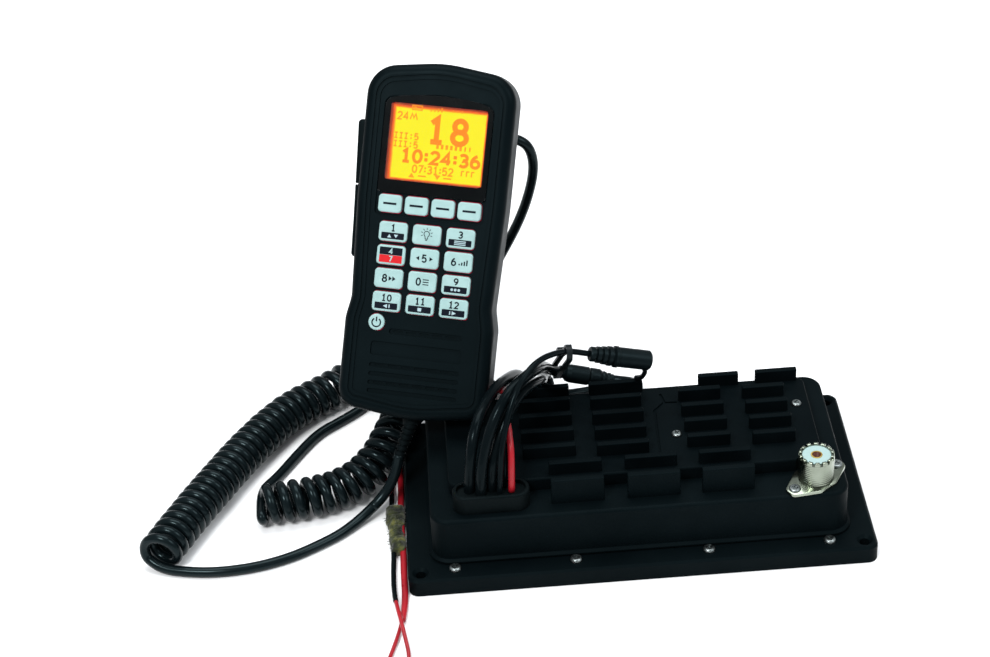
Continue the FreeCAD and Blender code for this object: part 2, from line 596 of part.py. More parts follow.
b = new_body("rear_shell")
part_line = front + 0.1
s = sketch(b, -part_line)
s.addGeometry(outline(0.15, 0.0), False)
f = pad(b, s, "sizes.hs_rear - sizes.hs_front - 0.1", down=True)
f = fillet(b, f, edges_of(f.Shape, at_level(-rear)), "sizes.hs_back_edge")
s = sketch(b, -part_line)
s.addGeometry(outline(P["hs_wall"] + 0.15, 0.0), False)
f = pocket(b, s, "sizes.hs_rear - sizes.hs_front - 5.0")
s = sketch(b, -part_line)
for x, y in BOSS:
    s.addGeometry(Part.Circle(V(x, y, 0), V(0, 0, 1), 3.4), False)
f = pad(b, s, "11.4", down=True)
s = sketch(b, -part_line)
for x, y in BOSS:
    s.addGeometry(Part.Circle(V(x, y, 0), V(0, 0, 1), 1.6), False)
f = pocket(b, s, through=True)
s = sketch(b, -rear)
for x, y in BOSS:
    s.addGeometry(Part.Circle(V(x, y, 0), V(0, 0, 1), 2.7), False)
f = pocket(b, s, "4.2", up=True)
# three shallow finger grooves across the back
s = sketch(b, -rear)
for y in (-34.0, -42.0, -50.0):
    s.addGeometry(box_outline(-20, y - 1.6, 20, y + 1.6, 1.5), False)
f = pocket(b, s, "1.0", up=True)
b.Placement = HS
keep(b, "rear_shell")

scr = pan_screw(2.4, 1.6, 1.25, 12.4)
parts = []
for x, y in BOSS:
    q = scr.copy()
    q.Placement = HS * Pl(V(x, y, -rear + 4.2), Rot(V(1, 0, 0), 180))
    parts.append(q)
feature("shell_screws", Part.makeCompound(parts))

# Display: glossy lens plate in the bay, module behind the window.
b = new_body("display_lens")
s = sketch(b, -P["recess_drop"] + 0.02)
s.addGeometry(rounded([(-24.6, 17.4, 1.2), (24.6, 17.4, 1.2), (24.6, 59.9, 3.7), (0, 62.6, 40.0), (-24.6, 59.9, 3.7)]), False)
pad(b, s, "1.0")
b.Placement = HS
keep(b, "display_lens")
lcd = doc.addObject("Part::Box", "lcd_module")
lcd.setExpression("Length", "sizes.lcd_w + 4")
lcd.setExpression("Width", "sizes.lcd_d + 3")
lcd.Height = 4.4
lcd.Placement = HS * Pl(V(-P["lcd_w"] / 2 - 2, P["lcd_y"] - P["lcd_d"] / 2 - 1.5, -7.6), Rot())
keep(lcd, "lcd_module")

# Keypad mat, circuit board, loudspeaker and microphone.
b = new_body("key_mat")
s = sketch(b, -5.8)
s.addGeometry(rounded([(-26.5, -46.5, 1.5), (-13.8, -46.5, 1.5), (-13.8, -37.6, 1.0), (26.5, -37.6, 1.5),
                       (26.5, 18.2, 1.5), (-26.5, 18.2, 1.5)]), False)
pad(b, s, "1.4")
b.Placement = HS
keep(b, "key_mat")
board = Part.makeBox(54, 122, 1.6, V(-27, -62, -9.8))
for bx, by, bw, bd, bh in ((-20, -30, 16, 16, 2.0), (4, -10, 14, 20, 2.6), (-22, 22, 30, 12, 3.0), (6, -52, 16, 10, 3.5)):
    board = board.fuse(Part.makeBox(bw, bd, bh, V(bx, by, -9.8 - bh + 0.02)))
feature("handset_board", board.removeSplitter(), HS)
spk = revolve([(0, -7.6), (11.6, -7.6), (11.6, -3.3), (10.2, -3.3), (4.5, -5.2), (0, -4.4)])
feature("speaker", spk, HS * Pl(V(2, -58.6, 0), Rot()))
feature("microphone", Part.makeCylinder(3.0, 2.4), HS * Pl(V(-17.5, -51.0, -5.6), Rot()))

# Keys: twelve function keys, four soft keys, the round power key, the push-to-talk bar.
def key(label, x, y, w_expr, d_expr, round_one=False):
    k = new_body(label)
    s_ = None
    if round_one:
        s_ = sketch(k, -P["key_low"], "-sizes.key_low")
        s_.addGeometry(Part.Circle(V(0, 0, 0), V(0, 0, 1), P["power_dia"] / 2), False)
        import Sketcher
        c_ = s_.addConstraint(Sketcher.Constraint("Radius", 0, P["power_dia"] / 2))
        s_.setExpression("Constraints[%d]" % c_, "sizes.power_dia / 2")
    else:
        s_ = rect_sketch(k, w_expr, d_expr, None, None, -P["key_low"], "-sizes.key_low")
    f_ = pad(k, s_, "sizes.key_low + sizes.key_high")
    if not round_one:
        f_ = fillet(k, f_, edges_of(f_.Shape, is_vertical), "sizes.key_round")
    f_ = fillet(k, f_, edges_of(f_.Shape, at_level(P["key_high"])), "0.6")
    k.Placement = HS * Pl(V(x, y, 0), Rot())
    return keep(k, label)


for n, (x, y) in enumerate(KEYS):
    key("key_%d_%d" % (n // 3 + 1, n % 3 + 1), x, y, "sizes.key_w", "sizes.key_d")
for n, (x, y) in enumerate(SOFT):
    key("soft_key_%d" % (n + 1), x, y, "sizes.soft_w", "sizes.soft_d")
key("power_key", P["power_x"], P["power_y"], None, None, True)

b = new_body("ptt_bar")
s = sketch(b, -4.8)
s.addGeometry(rounded([(P["ptt_in"], P["ptt_low"], 1.2), (P["ptt_in"], P["ptt_high"], 1.2), (-37.3, P["ptt_high"], 1.9),
                       (-36.2, 24.0, 60.0), (-35.4, 4.0, 60.0), (-34.9, P["ptt_low"], 1.9)]), False)
f = pad(b, s, "7.4", down=True)
f = fillet(b, f, edges_of(f.Shape, lambda e: e.BoundBox.XMax < -34.0 and e.BoundBox.YLength > 8 and e.BoundBox.ZLength < 0.01), "1.6")
s = sketch(b, -4.8)
s.addGeometry(rounded([(-40, 18.8, 0), (-34.4, 19.4, 0), (-34.4, 19.8, 0), (-40, 20.4, 0)]), False)
f = pocket(b, s, "7.4")
b.Placement = HS
keep(b, "ptt_bar")

# Strain relief of the handset cord: collar and ribbed taper, leaning to the left.
lean = Rot(V(0, 0, 1), -14)              # lean within the face plane
collar = Part.makeCylinder(4.3, 2.2, V(0, 0, 0), V(0, -1, 0))
prof = [(0, 0.3), (3.5, 0.3), (3.5, 1.4), (2.6, 1.6), (2.6, 2.0)]
zz = 2.0
for k in range(5):
    top_r = 3.45 - 0.2 * k
    prof += [(top_r, zz + 0.2), (top_r, zz + 1.7), (top_r - 0.8, zz + 1.95), (top_r - 0.8, zz + 2.7)]
    zz += 2.8
prof += [(2.75, zz + 0.1), (2.75, zz + 1.6), (2.5, zz + 1.93), (0, zz + 1.93)]
boot = revolve(prof)
relief_len = zz + 1.93
boot.Placement = Pl(V(0, 0, 0), lean * Rot(V(0, 0, 1), V(0, -1, 0)))
relief = collar.fuse(boot).removeSplitter()
relief_at = V(-0.56, P["hs_bottom"] - P["hs_chin"], -front)
feature("strain_relief", relief, HS * Pl(relief_at, Rot()))
tip_local = relief_at + lean.multVec(V(0, -1, 0)) * relief_len
tip_world = HS.multVec(tip_local)
tip_dir = HS.Rotation.multVec(lean.multVec(V(0, -1, 0)))
print("strain relief tip", [round(c, 2) for c in tip_world], "dir", [round(c, 3) for c in tip_dir])

# Hanger stud: a headed button on the back of the handset.
stud = revolve([(0, 0), (7.6, 0), (7.6, 0.8), (7.0, 1.2), (P["stud_neck"], 1.2), (P["stud_neck"], 4.5),
                (P["stud_head"], 4.5), (P["stud_head"], 5.9), (P["stud_head"] - 0.6, 6.5), (0, 6.5)])
feature("hanger_stud", stud, HS * Pl(V(0, P["stud_y"], -rear), Rot(V(1, 0, 0), 180)))

# ================================================================ HANGER
# Hanger plate: slotted plate that the stud drops into from above.
b = new_body("hanger_plate")
s = sketch(b, -28.6)
s.addGeometry(rounded([(-15, -38, 4), (15, -38, 4), (15, 23, 5), (-15, 23, 5)]), False)
f = pad(b, s, "2.4", down=True)
r_slot = P["stud_neck"] + 0.35
s = sketch(b, -28.6)
arc = Part.Arc(V(-r_slot, P["stud_y"], 0), V(0, P["stud_y"] - r_slot, 0), V(r_slot, P["stud_y"], 0))
s.addGeometry([arc, Part.LineSegment(V(r_slot, P["stud_y"], 0), V(r_slot, 19.0, 0)),
               Part.LineSegment(V(r_slot, 19.0, 0), V(r_slot + 4, 26, 0)),
               Part.LineSegment(V(r_slot + 4, 26, 0), V(-r_slot - 4, 26, 0)),
               Part.LineSegment(V(-r_slot - 4, 26, 0), V(-r_slot, 19.0, 0)),
               Part.LineSegment(V(-r_slot, 19.0, 0), V(-r_slot, P["stud_y"], 0))], False)
f = pocket(b, s, "2.4")
HP_SCREWS = [(sx * 10.0, y) for sx in (-1, 1) for y in (-32.0, -18.0)]
s = sketch(b, -28.6)
for x, y in HP_SCREWS:
    s.addGeometry(Part.Circle(V(x, y, 0), V(0, 0, 1), 1.6), False)
f = pocket(b, s, "2.4")
b.Placement = HS
keep(b, "hanger_plate")

# Hanger arm: foot plate on the front plate's rear margin, bent rod, pad and top cap.
foot_x, foot_y = -70.0, 49.2
FOOT_SCREWS = [(foot_x + 10.0, foot_y), (foot_x + 24.0, foot_y)]
pt = P["plate_thick"]
foot_plate = Part.makeBox(39, 9.2, 3.0, V(foot_x - 9, foot_y - 4.8, pt))
foot_plate = foot_plate.makeFillet(2.0, [e for e in foot_plate.Edges if is_vertical(e)])
for x, y in FOOT_SCREWS:
    foot_plate = foot_plate.cut(Part.makeCylinder(1.6, 4, V(x, y, pt - 0.5)))
low = HS.multVec(V(2, -46, -38.9))
high = HS.multVec(V(0, 37, -38.9))
ARM = [(foot_x, foot_y, pt + 1.0), (foot_x, foot_y, 32.0), tuple(low), tuple(high)]
wire, radii, _ = route_wire(ARM, "hanger_arm")
ring = Part.Wire([Part.Circle(V(*ARM[0]), V(0, 0, 1), P["arm_dia"] / 2).toShape()])
rod = wire.makePipeShell([ring], True, False)
cap = Part.makeSphere(P["arm_dia"] / 2)
cap.Placement = Pl(high, Rot())
pad_plate = Part.makeBox(30, 24, 4.2, V(-15, -37, -31.0 - 4.2))
pad_plate = pad_plate.makeFillet(3.0, [e for e in pad_plate.Edges if is_vertical(e)])
for x, y in HP_SCREWS:
    pad_plate = pad_plate.cut(Part.makeCylinder(1.3, 6, V(x, y, -36)))
pad_plate.Placement = HS
arm = foot_plate.fuse([rod, cap, pad_plate]).removeSplitter()
feature("hanger_arm", arm)
print("arm low", [round(c, 1) for c in low], "high", [round(c, 1) for c in high], "radii", [round(r[0], 1) for r in radii])
scr = pan_screw(2.6, 1.6, 1.4, 5.4)
parts = []
for x, y in FOOT_SCREWS:
    q = scr.copy()
    q.Placement = Pl(V(x, y, pt + 3.0), Rot(V(0, 0, 1), 30))
    parts.append(q)
scr2 = pan_screw(2.6, 1.6, 1.25, 6.0)
for x, y in HP_SCREWS:
    q = scr2.copy()
    q.Placement = HS * Pl(V(x, y, -35.2), Rot(V(1, 0, 0), 180))
    parts.append(q)
feature("hanger_screws", Part.makeCompound(parts))

# ================================================================ CABLES OF THE GLAND
well = P["body_top"] + P["gland_rise"] - P["gland_well"]

# Three thick leads leave the gland side by side and arch back over the heat sink.
tube("cable_c", [(-74.4, -33.2, well), (-73.9, -32.4, 48), (-72.6, -30.4, 57.8), (-70.5, -25.3, 65.3),
                 (-67.4, -17.6, 69.1), (-62.3, -5.1, 69.2), (-58.6, 4, 67.4), (-54.1, 15.1, 62.7), (-49, 30, 54),
                 (-45.5, 42, 42), (-42, 53, 29), (-37, 62.5, 17.5), (-29.5, 69.5, 9.2), (-20, 74.5, 5.2),
                 (-9, 77, 4.8)], P["thick_lead"])
tube("cable_b", [(-69.4, -35.5, well), (-69.1, -34.8, 49.7), (-66.4, -31.3, 60.5), (-63.4, -27.9, 68.5),
                 (-59.3, -23.2, 75.3), (-53.8, -16.8, 80), (-47.2, -9, 81), (-41.5, 0.5, 77.6), (-38.6, 10.5, 71.3),
                 (-37, 20, 64.6), (-35.6, 28.5, 57.6), (-33.2, 34.5, 51.4), (-28.9, 38, 47.2)], P["thick_lead"])
tube("cable_a", [(-64.4, -33, well), (-64, -33, 49.4), (-61.8, -30, 57.2), (-58.8, -25.6, 64.6), (-55, -19.8, 70.6),
                 (-50, -12, 73.6), (-44.5, -3.5, 72), (-40.3, 5.5, 67), (-38.4, 14.5, 60.5), (-37.9, 23.5, 53.8),
                 (-37.2, 31.3, 48.3), (-36.3, 38.2, 46), (-35.3, 44.3, 42.6), (-34.5, 48.4, 38.6), (-34.5, 49.5, 34.7)],
     P["thick_lead"])
# The thin accessory lead takes the outside of the arch and ends in plug A, which hangs
# over the heat sink.
tube("accessory_lead", [(-61.3, -36.4, well), (-60.41, -36.05, 49.41), (-59.64, -34.22, 58.76), (-57.83, -30.71, 66.69),
                        (-55.2, -26.4, 74.3), (-51.8, -20.9, 81.2), (-46.8, -14.4, 86.6), (-40.2, -6.9, 88.4),
                        (-32.6, 0.9, 85.8), (-25.9, 7.2, 81.6), (-20.77, 10, 78.4), (-16.42, 11.85, 75.79)],
     P["thin_lead"])


def along(p0, p1):
    return Pl(V(*p0), Rot(V(0, 0, 1), V(*p1) - V(*p0)))


# Moulded plugs: ribbed relief, collar and barrel, drawn along +Z from the cable's end.
def moulded_plug(length, r_cable, r_body, ribs=4, share=0.42):
    zr = length * share
    pts, z = [(0, 0), (r_cable + 0.5, 0)], 0.6
    step = (zr - 1.6) / ribs
    for k in range(ribs):
        r_ = r_cable + 0.9 + (r_body - r_cable - 1.3) * k / (ribs - 1.0)
        pts += [(r_, z), (r_, z + step * 0.6), (r_ - 0.9, z + step * 0.68), (r_ - 0.9, z + step * 0.92)]
        z += step
    pts += [(r_body - 0.9, z), (r_body, z + 0.5), (r_body, z + 2.0), (r_body - 0.35, z + 2.3), (r_body - 0.35, length - 0.8),
            (r_body - 1.0, length), (0, length)]
    return revolve(pts)


body_a = moulded_plug(28.9, P["thick_lead"] / 2, 4.9)
feature("plug_a", body_a, along((-16.42, 11.85, 75.79), (10.99, 15.25, 66.99)))

# Lead B ends in an in-line socket that the handset cord's plug is pushed into.
link_from, link_to = V(-28.9, 38, 47.2), V(-4, 38, 40.1)
sock_b = revolve([(0, 0), (3.0, 0), (3.0, 1.2), (2.7, 1.6), (2.7, 2.2), (3.8, 3.2), (4.3, 5.2), (4.3, 13.6), (3.9, 14.2),
                  (2.4, 14.2), (2.4, 9.0), (0, 9.0)])
feature("socket_b", sock_b, along(tuple(link_from), tuple(link_to)))
gap_len = (link_to - link_from).Length
hp = revolve([(0, 9.2), (2.2, 9.2), (2.2, 14.5), (4.0, 14.5), (4.2, 15.2), (4.1, 19.0), (3.3, 20.4), (3.5, 21.2), (3.2, 22.2),
              (2.8, 22.6), (3.1, 23.4), (3.0, 24.4), (2.6, 24.8), (2.7, 25.4), (2.6, gap_len), (0, gap_len)])
feature("handset_plug", hp, along(tuple(link_from), tuple(link_to)))

loose = moulded_plug(22.5, P["thick_lead"] / 2, 4.6, 4)
p_c, p_1 = loose.copy(), loose.copy()
p_c.Placement = along((-9, 77, 4.8), (14, 78.2, 4.8))
p_1.Placement = along((-34.5, 49.5, 34.7), (-34.5, 49.5, 12.2))
feature("accessory_plugs", Part.makeCompound([p_c, p_1]))


# Cable ties: flat bands drawn round a pair of centres, each with its square head.
def tie(c1, c2, axis, r_in, width=2.6, thick=1.0):
    c1, c2, ax = V(*c1), V(*c2), V(*axis)
    ax.normalize()
    e1 = c2 - c1
    e1 = e1 - ax * e1.dot(ax)
    span = e1.Length
    e1.normalize()
    e2 = ax.cross(e1)
    place = Pl(c1, Rot(e1, e2, ax, "ZXY"))

    def stadium(r_):
        w_ = Part.Wire([e_.toShape() for e_ in (
            Part.Arc(V(0, r_, 0), V(-r_, 0, 0), V(0, -r_, 0)), Part.LineSegment(V(0, -r_, 0), V(span, -r_, 0)),
            Part.Arc(V(span, -r_, 0), V(span + r_, 0, 0), V(span, r_, 0)), Part.LineSegment(V(span, r_, 0), V(0, r_, 0)))])
        return Part.Face(w_).extrude(V(0, 0, width))
    band = stadium(r_in + thick).cut(stadium(r_in))
    head = Part.makeBox(4.4, 3.4, width + 1.2, V(span / 2 - 2.2, r_in + 0.3, -0.6))
    band = band.fuse(head).removeSplitter()
    band.translate(V(0, 0, -width / 2))
    band.Placement = place.multiply(band.Placement)
    return band


ties = [tie((-26.09, 6.49, 81.16), (-31.3, 36.1, 49.5), (1.0, 0.07, -0.07), 2.75),
        tie((-74.43, 93.73, 117.42), (-73.27, 99.26, 113.48), (0.15, 0.515, 0.844), 4.15)]
feature("cable_ties", Part.makeCompound(ties))

# Power leads: red and black-sleeved, over the top, down behind the radio and forward
# along its left edge, crossing once near the front, to a tied coil of the spare length.
tube("power_red", [(-55.9, -35.6, well), (-55.4, -33.94, 49.05), (-54.97, -29.76, 58.4), (-55.35, -22.5, 63.26),
                   (-55.98, -16.24, 66.76), (-55.39, -11.33, 70.13), (-54.04, -5.5, 69.69), (-53.52, 2.13, 65.74),
                   (-54.63, 10.34, 59.99), (-56.68, 19.77, 52.5), (-58.2, 37.5, 40), (-58.2, 46.5, 31), (-58.8, 53, 21.5),
                   (-60.8, 57.8, 12), (-66, 59.4, 4.2), (-74.5, 58.8, 1.6), (-85, 58.5, 1.6), (-94.5, 59.8, 1.6),
                   (-102.4, 58.6, 1.6), (-107.3, 53.4, 1.6), (-107.6, 44.5, 1.6), (-106.3, 32.5, 1.6), (-105.95, 17, 1.9),
                   (-106.4, 2, 2.6), (-106.5, -14, 2.8), (-106, -29.5, 2.1), (-106.15, -45, 1.7), (-105.9, -59, 1.6),
                   (-107.1, -70, 1.6), (-109.6, -81, 1.6), (-112.4, -91, 1.6), (-115.4, -100.4, 1.6),
                   (-119.0, -107.6, 1.7)], P["red_lead"])
tube("power_black", [(-58.8, -31.9, well), (-58.04, -32.22, 48.45), (-57.49, -28.16, 56.78), (-57.26, -21.47, 60.38),
                     (-55.79, -13.23, 63.26), (-52.98, -6.72, 65.49), (-50.56, 0.24, 64.94), (-49.96, 9.46, 59.78),
                     (-50.51, 18.9, 54.03), (-51.8, 30, 48.3), (-53, 40, 42.2), (-54, 48.5, 32), (-56.2, 56.5, 20),
                     (-60.5, 62.8, 9.5), (-67, 65.2, 2.6), (-76, 63.6, 1.5), (-86, 62.4, 1.5), (-96, 63.6, 1.5),
                     (-105, 62.4, 1.5), (-110.9, 56.6, 1.5), (-111.8, 47, 1.5), (-110.5, 34.5, 1.5), (-110.3, 19, 1.8),
                     (-110.7, 4, 2.6), (-110.8, -12, 2.8), (-110.2, -27.5, 2), (-110.9, -42, 1.6), (-110.7, -56, 1.8),
                     (-109.5, -66.5, 4.4), (-108, -76, 5.2), (-106.4, -86, 3.6), (-104.9, -96, 1.9),
                     (-107.3, -103.5, 1.6), (-113.2, -106.5, 3.6)], P["black_lead"])
# olive cloth wrap that binds the two power leads beside the plate
wrap = Part.Face(Part.Wire([e_.toShape() for e_ in rounded([(-113.4, 0.2, 2.2), (-104.6, 0.2, 1.4), (-104.6, 5.4, 2.2), (-113.4, 6.0, 2.2)])]))
wrap = wrap.extrude(V(0, 0, 29.5))
wrap.Placement = Pl(V(0, 1.0, 0), Rot(V(1, 0, 0), 90))
feature("lead_wrap", wrap)
spare = Part.makeTorus(18.0, 4.4)
feature("power_coil", spare, Pl(V(-108, -128, 4.5), Rot()))

# ================================================================ HANDSET CORD
cord_r = P["cord_dia"] / 2
fat_r = P["coil_dia"] / 2
lead_start = tip_world + tip_dir * 0.9
tube("handset_lead", [tuple(lead_start), (-106.86, 8.18, 21.2), (-109.7, 6.05, 14.6), (-114.12, 3.35, 9.2),
                      (-119.76, -0.28, 5.6), (-126.28, -5.63, 3.1), (-134.57, -13.14, cord_r), (-145.12, -20, cord_r),
                      (-157.17, -26.53, cord_r), (-172.38, -31.21, cord_r), (-188.94, -32.63, cord_r),
                      (-202.02, -31.1, cord_r), (-213.44, -27.67, cord_r)], P["cord_dia"])
tube("handset_coil", [(-215.8, -26.7, fat_r), (-207.1, -8.8, fat_r), (-196.7, 11, fat_r), (-181.6, 38.1, fat_r),
                      (-170.9, 54.7, fat_r), (-161.6, 67.1, fat_r), (-151.2, 76.6, fat_r), (-139.7, 84.1, fat_r),
                      (-130, 90.2, 11.2), (-119, 94.6, 14.5), (-107.5, 93.5, 16.9), (-100, 84, 17.9),
                      (-97.7, 71.5, 18.8), (-100, 57.5, 19.4), (-105, 44.2, 19.4), (-109.4, 33.1, 18),
                      (-115, 24.6, 14.3), (-122.1, 17.2, 11.1), (-132.3, 10.5, fat_r), (-144.1, 6.2, fat_r),
                      (-157.8, 4.2, fat_r), (-170.9, 3, fat_r)], P["coil_dia"])
tube("handset_tail", [(-172.5, 13.5, 7), (-171, 20, 4), (-164, 30.8, cord_r), (-155, 46.4, cord_r),
                      (-145, 62.1, cord_r), (-133.5, 70.5, cord_r), (-122.5, 80, cord_r), (-111.5, 93, cord_r),
                      (-99, 104.5, cord_r), (-89, 110, 7), (-83, 111.5, 19), (-80.5, 110.5, 36), (-79.3, 108.5, 54),
                      (-78.2, 106, 72), (-76.8, 103.4, 90), (-74.8, 101, 105), (-73.2, 99.5, 113.5), (-71.2, 105, 121.5),
                      (-67.5, 109, 129.5), (-61.5, 109.5, 135.6), (-54, 106, 137.8), (-46.5, 102, 137.3),
                      (-40.5, 100, 136.3), (-36, 100, 133), (-33.8, 100, 127), (-33.5, 100, 119.5), (-35, 100, 110.8),
                      (-38.2, 100, 99.9), (-42.6, 100, 89), (-48.3, 99.5, 78), (-55, 97, 67.5), (-61, 93, 55.5),
                      (-65, 89, 43), (-66.5, 84.5, 30), (-64, 80, 18), (-57, 76.5, 8.5), (-47.5, 73.8, 3.4),
                      (-38.5, 71.5, cord_r), (-29.5, 69.6, cord_r), (-20, 67.2, cord_r), (-10.5, 65.4, cord_r),
                      (-3, 63.6, 4.6), (2.5, 61, 10.5), (5.2, 56.6, 18.5), (6.2, 51, 26), (6, 45.5, 32),
                      (4.2, 40.8, 36.2), (0.5, 38.6, 38.6), (-4, 38, 40.1)], P["cord_dia"])

# ================================================================ EXPORT
doc.recompute()
bad = []
for o in doc.Objects:
    st = [str(x) for x in o.State]
    if "Invalid" in st or "Error" in st:
        bad.append((o.Name, st))
for o in NODES:
    if o.Shape.isNull() or not o.Shape.isValid() or not o.Shape.Solids:
        bad.append((o.Label, "shape"))
if bad:
    raise RuntimeError("bad objects: %s" % bad)
os.makedirs("parts", exist_ok=True)
for o in NODES:
    o.Shape.exportStep("parts/%s.step" % o.Label)
print(len(NODES), "sub-parts exported")
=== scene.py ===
import bpy
import bmesh
import math
import random
from mathutils import Matrix, Vector, noise


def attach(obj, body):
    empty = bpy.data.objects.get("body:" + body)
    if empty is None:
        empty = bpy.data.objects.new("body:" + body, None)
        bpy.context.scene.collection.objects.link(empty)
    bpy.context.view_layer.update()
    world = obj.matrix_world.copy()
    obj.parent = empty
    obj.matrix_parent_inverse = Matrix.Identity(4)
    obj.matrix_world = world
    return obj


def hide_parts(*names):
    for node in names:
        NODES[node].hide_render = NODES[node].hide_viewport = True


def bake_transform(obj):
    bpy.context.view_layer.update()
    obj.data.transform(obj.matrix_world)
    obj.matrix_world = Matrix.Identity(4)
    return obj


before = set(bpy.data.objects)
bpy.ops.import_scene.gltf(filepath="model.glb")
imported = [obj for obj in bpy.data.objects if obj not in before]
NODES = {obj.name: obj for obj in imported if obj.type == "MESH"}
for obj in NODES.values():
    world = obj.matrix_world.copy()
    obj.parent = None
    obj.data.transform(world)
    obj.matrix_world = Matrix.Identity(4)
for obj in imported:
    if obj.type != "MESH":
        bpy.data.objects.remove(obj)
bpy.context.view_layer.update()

MM = 0.001
rng = random.Random(7)

# ------------------------------------------------------------------ camera
AZ, EL, ROLL = math.radians(-1.23), math.radians(36.0), math.radians(-3.49)
back = Vector((math.sin(AZ) * math.cos(EL), -math.cos(AZ) * math.cos(EL), math.sin(EL)))
right0 = Vector((math.cos(AZ), math.sin(AZ), 0.0))
up0 = back.cross(right0)
right = right0 * math.cos(ROLL) + up0 * math.sin(ROLL)
up = up0 * math.cos(ROLL) - right0 * math.sin(ROLL)
cam_data = bpy.data.cameras.new("camera")
cam_data.lens = 83.64
cam_data.sensor_width = 36.0
cam_data.clip_start, cam_data.clip_end = 0.05, 50.0
cam = bpy.data.objects.new("camera", cam_data)
bpy.context.scene.collection.objects.link(cam)
cam.matrix_world = Matrix((
    (right.x, up.x, back.x, -0.07548),
    (right.y, up.y, back.y, -0.80947),
    (right.z, up.z, back.z, 0.69041),
    (0, 0, 0, 1)))
bpy.context.scene.camera = cam
bpy.context.scene.view_settings.view_transform = "Standard"


# ------------------------------------------------------------------ materials
def node_mat(name, color, rough=0.4, spec=0.3, metal=0.0, tint=None, coat=0.0, coat_rough=0.08,
             color2=None, col_scale=60.0, col_detail=3.0, rough2=None, rough_scale=90.0,
             bumps=(), emission=None, emit=0.0, transmission=0.0, ior=None, sheen=0.0, sss=0.0, stretch=None):
    """Principled material with noise-driven colour, roughness and bump, in object coordinates."""
    m = bpy.data.materials.new(name)
    m.use_nodes = True
    nt = m.node_tree
    N, L = nt.nodes, nt.links
    bs = N["Principled BSDF"]
    bs.inputs["Base Color"].default_value = (*color, 1)
    bs.inputs["Roughness"].default_value = rough
    bs.inputs["Metallic"].default_value = metal
    bs.inputs["Specular IOR Level"].default_value = spec
    if tint:
        bs.inputs["Specular Tint"].default_value = (*tint, 1)
    if coat:
        bs.inputs["Coat Weight"].default_value = coat
        bs.inputs["Coat Roughness"].default_value = coat_rough
    if sheen:
        bs.inputs["Sheen Weight"].default_value = sheen
    if sss:
        bs.inputs["Subsurface Weight"].default_value = sss
        bs.inputs["Subsurface Radius"].default_value = (0.0012, 0.001, 0.0009)
    if transmission:
        bs.inputs["Transmission Weight"].default_value = transmission
    if ior:
        bs.inputs["IOR"].default_value = ior
    if emission:
        bs.inputs["Emission Color"].default_value = (*emission, 1)
        bs.inputs["Emission Strength"].default_value = emit
    tc = N.new("ShaderNodeTexCoord")
    vec = tc.outputs["Object"]
    if stretch:
        mp = N.new("ShaderNodeMapping")
        mp.inputs["Scale"].default_value = stretch
        L.new(vec, mp.inputs["Vector"])
        vec = mp.outputs["Vector"]

    def noise_node(scale, detail=3.0, rgh=0.55):
        n = N.new("ShaderNodeTexNoise")
        n.inputs["Scale"].default_value = scale
        n.inputs["Detail"].default_value = detail
        n.inputs["Roughness"].default_value = rgh
        L.new(vec, n.inputs["Vector"])
        return n.outputs["Fac"]

    def remap(fac, lo, hi, a, b):
        r = N.new("ShaderNodeMapRange")
        r.inputs["From Min"].default_value = lo
        r.inputs["From Max"].default_value = hi
        r.inputs["To Min"].default_value = a
        r.inputs["To Max"].default_value = b
        L.new(fac, r.inputs["Value"])
        return r.outputs["Result"]

    if color2:
        mix = N.new("ShaderNodeMix")
        mix.data_type = "RGBA"
        mix.inputs["A"].default_value = (*color, 1)
        mix.inputs["B"].default_value = (*color2, 1)
        L.new(remap(noise_node(col_scale, col_detail), 0.35, 0.68, 0, 1), mix.inputs["Factor"])
        L.new(mix.outputs["Result"], bs.inputs["Base Color"])
    if rough2 is not None:
        L.new(remap(noise_node(rough_scale, 4.0), 0.3, 0.7, rough, rough2), bs.inputs["Roughness"])
    last = None
    for scale, strength, dist in bumps:
        b = N.new("ShaderNodeBump")
        b.inputs["Strength"].default_value = strength
        b.inputs["Distance"].default_value = dist
        L.new(noise_node(scale, 2.0), b.inputs["Height"])
        if last:
            L.new(last, b.inputs["Normal"])
        last = b.outputs["Normal"]
    if last:
        L.new(last, bs.inputs["Normal"])
    return m


TEAL = (0.62, 0.92, 1.0)
M = {}
M["cast"] = node_mat("cast_black_paint", (0.0010, 0.0023, 0.0029), 0.46, spec=0.034, tint=TEAL,
                     color2=(0.0018, 0.0036, 0.0044), col_scale=24, rough2=0.60, rough_scale=70,
                     bumps=((1500, 0.35, 0.00010), (340, 0.16, 0.00016)))
M["sink"] = node_mat("heat_sink_paint", (0.0009, 0.0020, 0.0026), 0.50, spec=0.031, tint=TEAL,
                     color2=(0.0018, 0.0033, 0.0040), col_scale=30, rough2=0.64, rough_scale=60,
                     bumps=((1300, 0.4, 0.00012), (300, 0.18, 0.00016)))
M["shell"] = node_mat("handset_moulding", (0.0012, 0.0027, 0.0034), 0.38, spec=0.042, tint=TEAL,
                      color2=(0.0017, 0.0036, 0.0045), col_scale=35, rough2=0.48, rough_scale=110,
                      bumps=((2300, 0.22, 0.00006),))
M["ptt"] = node_mat("talk_bar_rubber", (0.0015, 0.0027, 0.0032), 0.50, spec=0.045, tint=TEAL,
                    color2=(0.0022, 0.0038, 0.0043), col_scale=60, rough2=0.60,
                    bumps=((1900, 0.3, 0.00008),))
M["rubber"] = node_mat("black_rubber", (0.0015, 0.0026, 0.0029), 0.46, spec=0.047, tint=TEAL,
                       color2=(0.0026, 0.0039, 0.0044), col_scale=90, rough2=0.58,
                       bumps=((1100, 0.3, 0.00010),))
